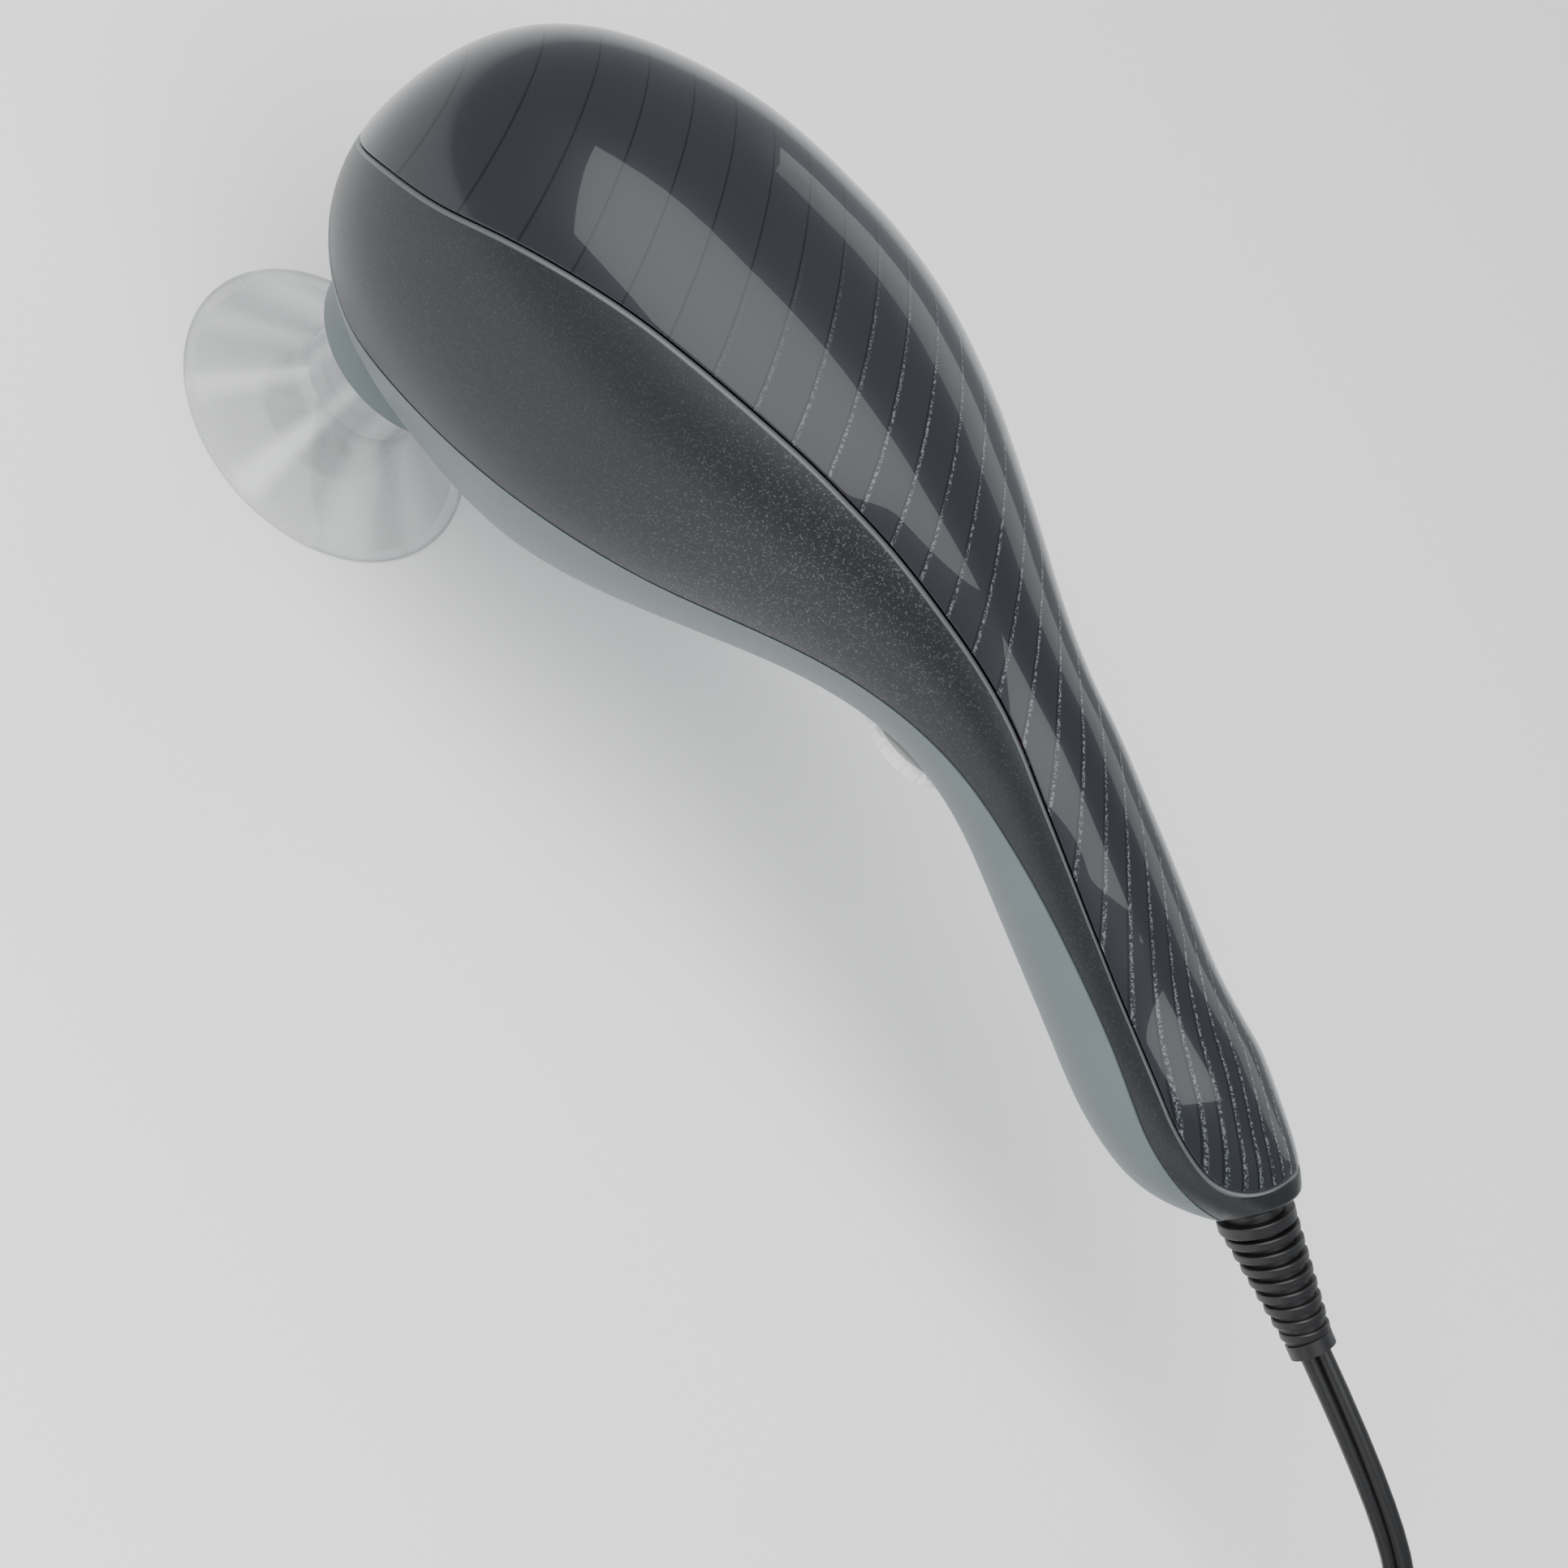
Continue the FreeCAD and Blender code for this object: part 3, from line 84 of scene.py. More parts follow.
# ---------------------------------------------------------------- cord, in millimetres
RELIEF_TIP = (302.09, 0.0, 73.27)
LEAD_ROUTE = [(349.4, 0.0, 60.4), (367.4, 0.3, 41.3), (383.1, 3.1, 20.7), (405.7, -1.2, 9.4),
              (425.0, -17.3, 4.2), (434.1, -41.2, 3.6)]
TAIL_ROUTE = [(424.4, -90.3, 10.8), (408.1, -107.7, 10.5), (387.5, -118.4, 9.9), (365.1, -119.1, 9.2),
              (345.3, -110.7, 8.6)]
COIL_CENTRE = (390.0, -58.0)
COIL_OUTER_R = 47.2
COIL_INNER_R = 32.8
COIL_HEIGHTS = (3.6, 10.8)
COIL_START = 20.8           # degrees, where the lead joins the ring; it goes round clockwise
COIL_SWEEP = 2224.0         # degrees from there to where the tail leaves it
COIL_CLIMB = 90.0           # degrees over which it climbs to the upper layer
POINTS_PER_TURN = 16

# ---------------------------------------------------------------- faces of the skins, in millimetres
LIP_ANGLES = (90, 62, 35, 12, 0)    # degrees round a rounded edge, one for each column on it
LIP_SUPPORT = (1.3, 2.0)    # columns that follow the rounding, in its radii
ROW_TO_LIPS = 2.5           # a row is at least this many times as long as its rounded edges
NOSE_STEPS = 160            # points of the side view's top over the nose, and behind it
BACK_STEPS = 240
COVER_STEPS = 60            # points of one row's path before it is divided into columns
HOUSING_STEPS = 48
RIM_STEPS = 200             # heights at which the end face's rim is looked for
RIM_CROWDING = 0.6          # row step on the rim, as a share of the row step elsewhere
FOOT_LIP_SHARE = 0.6        # rounding along the shell's line, as a share of the housing's rounding
SHELL_SHARE = 0.955         # how much of the cover's line the rows above the shell's line take up
FEWEST_RIM_ROWS = 8
END_FACE_COLUMNS = 5
PROBE = 0.02                # step that measures the surface's direction
HALVINGS = 40               # of the step in which a line crosses a limit
MERGE = 0.01                # points closer than this are one
SLIVER = 0.002              # faces thinner than this are dropped

# ---------------------------------------------------------------- studio, in metres
FLOOR_HALF_SIZE = 6.0
SKY_COLOUR = (0.93, 0.96, 1.0, 1.0)
NEAR_SOFTBOX = {"place": (-0.20, -0.86, 1.15), "target": (-0.20, -0.861, 0.0), "size": (2.2, 1.5)}
FAR_SOFTBOX = {"place": (0.30, 1.30, 0.80), "target": (0.10, 0.0, 0.10), "size": (1.6, 0.6)}
CAMERA_RIGHT = Vector((0.597, 0.550, 0.584))
CAMERA_UP = Vector((-0.802, 0.4095, 0.4346))
CAMERA_TARGET = Vector((0.131, 0.0, 0.0466))
SENSOR_WIDTH = 36.0         # millimetres


# ---------------------------------------------------------------- settings
class SkinSettings(bpy.types.PropertyGroup):
    """Sizes of the moulded skins."""
    cover_wall: FloatProperty(name="Cover wall", description="Thickness of the glossy top cover",
                              default=0.0016, min=0.0005, max=0.003, unit="LENGTH")
    housing_wall: FloatProperty(name="Housing wall", description="Thickness of the dark upper housing",
                                default=0.002, min=0.0005, max=0.003, unit="LENGTH")
    seam: FloatProperty(name="Seam", description="Gap at each parting line", default=0.0003,
                        unit="LENGTH")
    cover_lip: FloatProperty(name="Cover lip", description="Rounding of the cover's edge",
                             default=0.00045, unit="LENGTH")
    housing_lip: FloatProperty(name="Housing lip", description="Rounding of the housing's edges",
                               default=0.001, unit="LENGTH")
    end_round: FloatProperty(name="End rounding", description="Rounding of the handle's end",
                             default=0.0013, unit="LENGTH")
    row_step: FloatProperty(name="Row step", description="Distance between rows of faces",
                            default=0.0022, unit="LENGTH")
    columns: IntProperty(name="Columns", description="Faces across each skin", default=26)


class FinishSettings(bpy.types.PropertyGroup):
    """Colours of the finishes."""
    cover_colour: FloatVectorProperty(name="Cover", description="Tinted glossy cover",
                                      subtype="COLOR", default=(0.0160, 0.0180, 0.0225))
    housing_colour: FloatVectorProperty(name="Upper housing", description="Charcoal satin",
                                        subtype="COLOR", default=(0.0060, 0.0074, 0.0090))
    shell_colour: FloatVectorProperty(name="Lower shell", description="Blue-grey satin",
                                      subtype="COLOR", default=(0.112, 0.136, 0.142))
    vinyl_colour: FloatVectorProperty(name="Disc", description="Clear vinyl",
                                      subtype="COLOR", default=(0.93, 0.94, 0.94))
    dial_colour: FloatVectorProperty(name="Dial", description="Pale plastic",
                                     subtype="COLOR", default=(0.78, 0.78, 0.77))
    cord_colour: FloatVectorProperty(name="Cord", description="Black vinyl and rubber",
                                     subtype="COLOR", default=(0.0055, 0.0055, 0.006))
    stripe_pitch: FloatProperty(name="Stripe pitch", description="Distance between the cover's pinstripes",
                                default=0.0109, unit="LENGTH")


class CordSettings(bpy.types.PropertyGroup):
    """Sizes of the twin cord."""
    length: FloatProperty(name="Length", description="Whole length of the cord", default=1.8,
                          unit="LENGTH")
    width: FloatProperty(name="Width", description="Across both cores", default=0.0072, unit="LENGTH")
    thickness: FloatProperty(name="Thickness", description="Of one core", default=0.0038,
                             unit="LENGTH")
    roll: FloatProperty(name="Roll", description="Turn of the flat cord where it leaves the strain relief",
                        default=math.radians(-42.0), subtype="ANGLE")
    roll_length: FloatProperty(name="Roll length", description="How soon that turn is gone",
                               default=0.12, unit="LENGTH")


class StudioSettings(bpy.types.PropertyGroup):
    """Camera and lights."""
    lens: FloatProperty(name="Lens", description="Focal length", default=150.0, unit="CAMERA")
    distance: FloatProperty(name="Distance", description="Camera to the point it looks at",
                            default=1.470, unit="LENGTH")
    key_power: FloatProperty(name="Key light", description="Power of the large softbox on the near side",
                             default=46.0, unit="POWER")
    fill_power: FloatProperty(name="Fill light", description="Power of the softbox on the far side",
                              default=5.0, unit="POWER")
    sky: FloatProperty(name="Sky", description="Strength of the even light from all round", default=0.55)
    floor_colour: FloatVectorProperty(name="Floor", description="Pale studio floor", subtype="COLOR",
                                      default=(0.955, 0.955, 0.955))


# ---------------------------------------------------------------- body surface
def through(points, x):
    """Height at x of a smooth curve through the points, each (x, height)."""
    last = len(points) - 1
    i = max(0, min(last - 1, sum(1 for p in points if p[0] <= x) - 1))

    def slope(k):
        low, high = points[max(k - 1, 0)], points[min(k + 1, last)]
        return (high[1] - low[1]) / (high[0] - low[0])

    (x0, z0), (x1, z1) = points[i], points[i + 1]
    span, s = x1 - x0, (x - x0) / (x1 - x0)
    bend = s * (1 - s) * ((1 - s) * slope(i) - s * slope(i + 1))
    return z0 + (z1 - z0) * s * s * (3 - 2 * s) + span * bend


def half_size(x, head, handle):
    """Half the body's height or width at x, from that of the head and that of the handle."""
    if x < HEAD_PEAK:
        share = min((HEAD_PEAK - x) / (HEAD_PEAK + HEAD_FRONT), 1.0)
        return head * (1 - share ** NOSE_FULLNESS) ** (1 / NOSE_FULLNESS)
    if x < NECK_END:
        share = (x - HEAD_PEAK) / (NECK_END - HEAD_PEAK)
        return handle + (head - handle) * (1 + math.cos(math.pi * share)) / 2
    if x <= TAIL_START:
        return handle
    share = min((x - TAIL_START) / (TAIL_END - TAIL_START), 1.0)
    return handle * (1 - share ** TAIL_FULLNESS) ** (1 / TAIL_FULLNESS)


def half_height(x):
    """Half the body's height at x."""
    return half_size(x, HEAD_HALF_HEIGHT, HANDLE_HALF_HEIGHT)


def half_width(x):
    """Half the body's width at x."""
    return half_size(x, HEAD_HALF_WIDTH, HANDLE_HALF_WIDTH)


def level(point):
    """1 on the body's surface, less inside it."""
    x, y, z = point
    share, power = 0.0, 2.0
    tall, wide = half_height(x), half_width(x)
    if x < HEAD_PEAK:
        share, power = (HEAD_PEAK - x) / (HEAD_PEAK + HEAD_FRONT), NOSE_FULLNESS
        tall, wide = HEAD_HALF_HEIGHT, HEAD_HALF_WIDTH
    elif x > TAIL_START:
        share, power = (x - TAIL_START) / (TAIL_END - TAIL_START), TAIL_FULLNESS
        tall, wide = HANDLE_HALF_HEIGHT, HANDLE_HALF_WIDTH
    radial = math.hypot(y / wide, (z - through(SPINE, x)) / tall)
    return (radial ** power + share ** power) ** (1 / power)


def outward(point):
    """The surface's direction outwards at a point."""
    steps = [Vector((PROBE, 0, 0)), Vector((0, PROBE, 0)), Vector((0, 0, PROBE))]
    return Vector([level(point + step) - level(point - step) for step in steps]).normalized()


def on_surface(point):
    """The point moved straight out from the section's centre onto the surface."""
    x, y, z = point
    centre = through(SPINE, x)
    tall, wide = max(half_height(x), 1e-4), max(half_width(x), 1e-4)
    radial = max(math.hypot(y / wide, (z - centre) / tall), 1e-6)
    return Vector((x, y / radial, centre + (z - centre) / radial))


def seen_from_side(x, z):
    """The surface point on the +Y side that lies at x, z in a side view."""
    share = (z - through(SPINE, x)) / max(half_height(x), 1e-4)
    return Vector((x, half_width(x) * math.sqrt(max(0.0, 1 - share * share)), z))


def second_derivatives(at, values):
    """Of the smooth curve through the values, free at both ends."""
    count = len(at)
    carried, result = [0.0] * count, [0.0] * count
    for i in range(1, count - 1):
        near, far = at[i] - at[i - 1], at[i + 1] - at[i]
        share = near / (near + far)
        pivot = share * carried[i - 1] + 2
        carried[i] = (share - 1) / pivot
        turn = (values[i + 1] - values[i]) / far - (values[i] - values[i - 1]) / near
        result[i] = (6 * turn / (near + far) - share * result[i - 1]) / pivot
    for i in range(count - 2, 0, -1):
        result[i] += carried[i] * result[i + 1]
    return result


def smooth_line(points, steps=40):
    """Close points of the smooth curve through the given ones."""
    at = [0.0]
    for before, after in zip(points, points[1:]):
        at.append(at[-1] + math.dist(before, after))
    curves = [[p[k] for p in points] for k in range(2)]
    turns = [second_derivatives(at, values) for values in curves]
    line = []
    for i in range(len(points) - 1):
        span = at[i + 1] - at[i]
        for k in range(steps):
            b = k / steps
            a = 1 - b
            line.append(tuple(a * values[i] + b * values[i + 1]
                              + ((a ** 3 - a) * turn[i] + (b ** 3 - b) * turn[i + 1]) * span * span / 6
                              for values, turn in zip(curves, turns)))
    return line + [points[-1]]


def behind_end_face(x, z):
    """How far a point of the side view lies past the slanted end face."""
    return (x - END_FACE.x) * math.cos(END_FACE_TILT) - (z - END_FACE.z) * math.sin(END_FACE_TILT)


def crossing(inner, outer, beyond):
    """Where a step from inner to outer first gets beyond the limit."""
    for _ in range(HALVINGS):
        middle = ((inner[0] + outer[0]) / 2, (inner[1] + outer[1]) / 2)
        inner, outer = (inner, middle) if beyond(*middle) else (middle, outer)
    return inner


def within(line, beyond):
    """The stretch of a line that isn't beyond the limit, with both its ends on it."""
    inside = [i for i, p in enumerate(line) if not beyond(*p)]
    first, last = inside[0], inside[-1]
    return [crossing(line[first], line[first - 1], beyond)] + line[first:last + 1] + [
        crossing(line[last], line[last + 1], beyond)]


def outside_body(x, z):
    """Whether a point of the side view lies above or below the body."""
    return abs(z - through(SPINE, x)) > half_height(x)


def chain(points, distances):
    """Points along a chain of points, at these distances from its start."""
    found, i, gone = [], 0, 0.0
    for distance in distances:
        while i < len(points) - 2 and gone + (points[i + 1] - points[i]).length < distance:
            gone += (points[i + 1] - points[i]).length
            i += 1
        step = points[i + 1] - points[i]
        share = (distance - gone) / step.length if step.length > 1e-9 else 0.0
        found.append(points[i].lerp(points[i + 1], min(max(share, 0.0), 1.0)))
    return found


def chain_length(points):
    """Length of a chain of points."""
    return sum((b - a).length for a, b in zip(points, points[1:]))


def even(points, count):
    """That many points at even distances along a chain."""
    length = chain_length(points)
    return chain(points, [length * k / (count - 1) for k in range(count)])


# ---------------------------------------------------------------- skins
def rounding(radius):
    """Distances from an edge that round it well."""
    lip_highlight = [radius * (1 - math.sin(math.radians(angle))) for angle in LIP_ANGLES]
    return lip_highlight + [radius * k for k in LIP_SUPPORT]


def drop(distance, radius):
    """How far a rounded edge has fallen from the surface at a distance from the edge."""
    short = max(radius - distance, 0.0)
    return radius - math.sqrt(max(radius * radius - short * short, 0.0))


def row_distances(length, start_lip, end_lip, columns):
    """Distances of one row's points: close at its rounded edges and even between them."""
    start = rounding(start_lip)
    end = rounding(end_lip) if end_lip else [0.0]
    tight = min(1.0, length / (ROW_TO_LIPS * (start[-1] + end[-1])))
    low, high = start[-1] * tight, length - end[-1] * tight
    middle = [low + (high - low) * k / columns for k in range(1, columns)]
    return [d * tight for d in start] + middle + [length - d * tight for d in reversed(end)]


def skin_mesh(rows, lip_columns=0):
    """A grid of faces whose points are put in these rows; its first columns are marked as the lip."""
    mesh = bmesh.new()
    across, along = len(rows[0]) - 1, len(rows) - 1
    bmesh.ops.create_grid(mesh, x_segments=across, y_segments=along, size=1.0)
    lip = mesh.verts.layers.float.new("lip")
    for vert in mesh.verts:
        i, j = round((vert.co.x + 1) / 2 * across), round((vert.co.y + 1) / 2 * along)
        vert.co = rows[j][i]
        vert[lip] = 1.0 if i < lip_columns else 0.0
    return mesh


def add_mesh(mesh, other):
    """Adds another bmesh's faces to this one."""
    carrier = bpy.data.meshes.new("carrier")
    other.to_mesh(carrier)
    other.free()
    mesh.from_mesh(carrier)
    bpy.data.meshes.remove(carrier)


def face_out(mesh):
    """Turns an open skin so that its faces look outwards."""
    bmesh.ops.recalc_face_normals(mesh, faces=mesh.faces)
    biggest = max(mesh.faces, key=lambda f: f.calc_area())
    if biggest.normal.dot(outward(biggest.calc_center_median())) < 0:
        bmesh.ops.reverse_faces(mesh, faces=mesh.faces)


def close_skin(mesh, wall):
    """Mirrors half a skin, merges it and gives it its wall, inwards."""
    bmesh.ops.remove_doubles(mesh, verts=mesh.verts, dist=MERGE)
    bmesh.ops.mirror(mesh, geom=mesh.verts[:] + mesh.edges[:] + mesh.faces[:],
                     matrix=Matrix.Identity(4), merge_dist=MERGE, axis="Y")
    bmesh.ops.remove_doubles(mesh, verts=mesh.verts, dist=MERGE)
    bmesh.ops.dissolve_degenerate(mesh, dist=SLIVER, edges=mesh.edges)
    face_out(mesh)
    bmesh.ops.solidify(mesh, geom=mesh.faces[:], thickness=wall)


def make_object(mesh, name, material, body, sharp=50.0):
    """Brings a bmesh from millimetres to metres and puts it on its body."""
    bmesh.ops.scale(mesh, vec=(MM, MM, MM), verts=mesh.verts)
    mesh.normal_update()
    for face in mesh.faces:
        face.smooth = True
    for edge in mesh.edges:
        edge.smooth = len(edge.link_faces) == 2 and edge.calc_face_angle(0.0) < math.radians(sharp)
    data = bpy.data.meshes.new(name)
    mesh.to_mesh(data)
    mesh.free()
    data.materials.append(material)
    obj = bpy.data.objects.new(name, data)
    bpy.context.scene.collection.objects.link(obj)
    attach(obj, body)
    return obj


def top_profile(front, rear):
    """The top of the side view, from the cover's front tip over the nose to its rear tip."""
    rise = front[1] - through(SPINE, front[0])
    line = []
    for k in range(NOSE_STEPS + 1):
        h = rise + (HEAD_HALF_HEIGHT - rise) * k / NOSE_STEPS
        share = max(1 - abs(h / HEAD_HALF_HEIGHT) ** NOSE_FULLNESS, 0.0) ** (1 / NOSE_FULLNESS)
        x = HEAD_PEAK - (HEAD_PEAK + HEAD_FRONT) * share
        line.append(Vector((x, 0, through(SPINE, x) + h)))
    for k in range(1, BACK_STEPS + 1):
        x = HEAD_PEAK + (rear[0] - HEAD_PEAK) * k / BACK_STEPS
        line.append(Vector((x, 0, through(SPINE, x) + half_height(x))))
    return line


def cover_edge(lift):
    """The cover's parting line on the +Y side, in the side view."""
    line = [(x, z + lift) for x, z in smooth_line(COVER_LINE)]
    return within(line, outside_body)


def cover_rows(skin):
    """Rows of the cover's +Y half, from its edge up to the middle."""
    lip = skin.cover_lip / MM
    edge = cover_edge(skin.seam / MM)
    border = [seen_from_side(x, z) for x, z in edge]
    count = round(chain_length(border) / (skin.row_step / MM))
    feet = even(border, count)
    heads = even(top_profile(edge[0], edge[-1]), count)
    rows = []
    for foot, head in zip(feet, heads):
        path = []
        for k in range(COVER_STEPS + 1):
            share = 1 - (1 - k / COVER_STEPS) ** 2
            spot = foot.lerp(head, share)
            path.append(seen_from_side(spot.x, spot.z))
        distances = row_distances(chain_length(path), lip, 0, skin.columns)
        row = []
        for distance, spot in zip(distances, chain(path, distances)):
            spot = on_surface(spot)
            row.append(spot - outward(spot) * drop(distance, lip))
        row[-1].y = 0.0
        rows.append(row)
    return rows


def housing_border(seam):
    """The housing's outer border on the +Y side: the shell's parting line, and the end face's rim."""
    line = [(x, z + seam) for x, z in smooth_line(SHELL_LINE)]
    line = within(line, lambda x, z: outside_body(x, z) or behind_end_face(x, z) > 0)
    shell_part = [seen_from_side(x, z) for x, z in line]
    corner = line[-1]
    rim_part = []
    for k in range(1, RIM_STEPS + 1):
        z = corner[1] + (END_FACE.z + 2 * HANDLE_HALF_HEIGHT - corner[1]) * k / RIM_STEPS
        x = END_FACE.x + (z - END_FACE.z) * math.tan(END_FACE_TILT)
        if outside_body(x, z):
            break
        rim_part.append((x, z))
    top = crossing(rim_part[-1], (x, z), outside_body)
    rim_part = [seen_from_side(x, z) for x, z in rim_part + [top]]
    return shell_part, [shell_part[-1]] + rim_part


def end_face_point(angle):
    """A point of the strain relief's hole, on the end face."""
    up = Vector((math.sin(END_FACE_TILT), 0, math.cos(END_FACE_TILT)))
    return RELIEF_HOLE + (Vector((0, math.cos(angle), 0)) + up * math.sin(angle)) * RELIEF_HOLE_R


def flat_on_end_face(point):
    """The point moved squarely onto the end face."""
    behind = Vector((math.cos(END_FACE_TILT), 0, -math.sin(END_FACE_TILT)))
    return point - behind * behind_end_face(point.x, point.z)


def housing_heads(shell_count, rim_count):
    """Where the housing's rows start on the cover's line: those above the shell, then those of the rim."""
    top_edge = [seen_from_side(x, z) for x, z in cover_edge(0.0)]
    whole = chain_length(top_edge)
    above_shell = [whole * SHELL_SHARE * k / (shell_count - 1) for k in range(shell_count)]
    above_rim = [whole * (SHELL_SHARE + (1 - SHELL_SHARE) * k / (rim_count - 1))
                 for k in range(1, rim_count)]
    return chain(top_edge, above_shell + above_rim)


def housing_rows(skin):
    """Rows of the upper housing's +Y half, from the cover's line down, and rows of its end face."""
    lip, row_step = skin.housing_lip / MM, skin.row_step / MM
    shell_part, rim_part = housing_border(skin.seam / MM)
    rim_count = max(round(chain_length(rim_part) / (row_step * RIM_CROWDING)), FEWEST_RIM_ROWS)
    shell_count = round(chain_length(shell_part) / row_step)
    feet = even(shell_part, shell_count) + even(rim_part, rim_count)[1:]
    heads = housing_heads(shell_count, rim_count)
    rows, face_rows = [], []
    low_angle = math.asin((shell_part[-1].z - RELIEF_HOLE.z) / RELIEF_HOLE_R)
    for i, (head, foot) in enumerate(zip(heads, feet)):
        foot_lip = skin.end_round / MM if i >= shell_count else lip * FOOT_LIP_SHARE
        path = [on_surface(head.lerp(foot, k / HOUSING_STEPS)) for k in range(HOUSING_STEPS + 1)]
        length = chain_length(path)
        distances = row_distances(length, lip, foot_lip, skin.columns)
        row = []
        for distance, spot in zip(distances, chain(path, distances)):
            spot = on_surface(spot)
            fall = drop(distance, lip) + drop(length - distance, foot_lip)
            row.append(spot - outward(spot) * fall)
        if i in (0, len(heads) - 1):
            for spot in row:
                spot.y = 0.0
        if i >= shell_count - 1:
            row[-1] = flat_on_end_face(row[-1])
            share = (i - shell_count + 1) / (rim_count - 1)
            inner = end_face_point(low_angle + (math.pi / 2 - low_angle) * share)
            face_rows.append([row[-1].lerp(inner, k / END_FACE_COLUMNS)
                              for k in range(END_FACE_COLUMNS + 1)])
        rows.append(row)
    return rows, face_rows


# ---------------------------------------------------------------- materials
def calc(tree, operation, *values):
    """A Math node of sockets and numbers, and its result."""
    node = tree.nodes.new("ShaderNodeMath")
    node.operation = operation
    for socket, value in zip(node.inputs, values):
        if isinstance(value, bpy.types.NodeSocket):
            tree.links.new(value, socket)
        else:
            socket.default_value = value
    return node.outputs[0]


def ramp(tree, value, low, high):
    """0 below low, 1 above high, smooth between them."""
    node = tree.nodes.new("ShaderNodeMapRange")
    node.interpolation_type = "SMOOTHSTEP"
    tree.links.new(value, node.inputs["Value"])
    node.inputs["From Min"].default_value = low
    node.inputs["From Max"].default_value = high
    return node.outputs["Result"]


def between(tree, value, rise, fall):
    """1 between the two edges, each (low, high), and 0 beyond them."""
    return calc(tree, "MULTIPLY", ramp(tree, value, *rise),
                calc(tree, "SUBTRACT", 1.0, ramp(tree, value, *fall)))


def mix_colour(tree, share, first, second):
    """Two colours, each a socket or three numbers, mixed by a share."""
    node = tree.nodes.new("ShaderNodeMix")
    node.data_type = "RGBA"
    for name, value in (("Factor", share), ("A", first), ("B", second)):
        socket = next(s for s in node.inputs if s.name == name and s.enabled)
        if isinstance(value, bpy.types.NodeSocket):
            tree.links.new(value, socket)
        else:
            socket.default_value = value if isinstance(value, float) else (*value, 1.0)
    return next(s for s in node.outputs if s.enabled)


def millimetres(tree, stretch=(1.0, 1.0, 1.0)):
    """The surface point in millimetres, from the object's own coordinates."""
    place = tree.nodes.new("ShaderNodeTexCoord")
    mapping = tree.nodes.new("ShaderNodeMapping")
    mapping.inputs["Scale"].default_value = [k / MM for k in stretch]
    tree.links.new(place.outputs["Object"], mapping.inputs["Vector"])
    return mapping.outputs["Vector"]


def split_axes(tree, point):
    """The X and the Y of a point."""
    node = tree.nodes.new("ShaderNodeSeparateXYZ")
    tree.links.new(point, node.inputs["Vector"])
    return node.outputs["X"], node.outputs["Y"]


def noise(tree, point, per_mm, detail=3.0):
    """Soft cloud; the higher per_mm is, the finer."""
    node = tree.nodes.new("ShaderNodeTexNoise")
    node.inputs["Scale"].default_value = per_mm
    node.inputs["Detail"].default_value = detail
    tree.links.new(point, node.inputs["Vector"])
    return node.outputs["Fac"]


def flecks(tree, point, per_mm):
    """A random number for each tiny cell of the surface."""
    node = tree.nodes.new("ShaderNodeTexVoronoi")
    node.inputs["Scale"].default_value = per_mm
    tree.links.new(point, node.inputs["Vector"])
    split = tree.nodes.new("ShaderNodeSeparateColor")
    tree.links.new(node.outputs["Color"], split.inputs["Color"])
    return split.outputs["Red"]


def bump(tree, height, millimetres_high, shader):
    """Lets a mask raise the surface by this much."""
    node = tree.nodes.new("ShaderNodeBump")
    node.inputs["Distance"].default_value = millimetres_high * MM
    tree.links.new(height, node.inputs["Height"])
    tree.links.new(node.outputs["Normal"], shader.inputs["Normal"])


def start_material(name, **settings):
    """A material with its shader's own sockets set; returns it with its tree and shader."""
    material = bpy.data.materials.new(name)
    material.use_nodes = True
    tree = material.node_tree
    shader = tree.nodes["Principled BSDF"]
    for socket, value in settings.items():
        shader.inputs[socket.replace("_", " ")].default_value = value
    return material, tree, shader


def cloud_colour(tree, share, colour, dark, light):
    """A colour that a mask makes darker and lighter, by these factors."""
    return mix_colour(tree, share, [c * dark for c in colour], [c * light for c in colour])


def vary_colour(tree, shader, colour, share, strength):
    """Gives the shader a colour that a mask makes a little darker and lighter."""
    colour = cloud_colour(tree, share, colour, 1 - strength, 1 + strength)
    tree.links.new(colour, shader.inputs["Base Color"])


def vary_roughness(tree, shader, share, low, high):
    """Gives the shader a roughness that a mask moves between two values."""
    node = tree.nodes.new("ShaderNodeMapRange")
    node.inputs["To Min"].default_value = low
    node.inputs["To Max"].default_value = high
    tree.links.new(share, node.inputs["Value"])
    tree.links.new(node.outputs["Result"], shader.inputs["Roughness"])


STRIPE_LEAN = 0.55              # how far a pinstripe runs along the handle for each mm across it
STRIPE_LEAN_PER_MM = 0.0035     # how that grows towards the cord
STRIPE_STEEP_END = 0.35         # what it gains besides, by the fourth power, at STRIPE_STEEP_X
STRIPE_STEEP_X = 165
STRIPE_START = 2.2
STRIPES_BEFORE_START = 10
STRIPE_LINE = ((0.0, 0.08), (0.32, 0.50))           # edges of the dark line, mm across it
STRIPE_GLITTER_BAND = ((0.42, 0.62), (0.95, 1.35))  # and of the glittering band beside it
GLITTER_ONSET = (38.0, 92.0)    # x over which the glitter comes in
GLITTER_CELLS = (0.45, 0.80)    # which of the random cells shine
LINE_DEPTH = 0.88
LINE_COLOUR = (0.004, 0.005, 0.006)
GLITTER_STRENGTH = 0.80
GLITTER_COLOUR = (0.14, 0.152, 0.165)


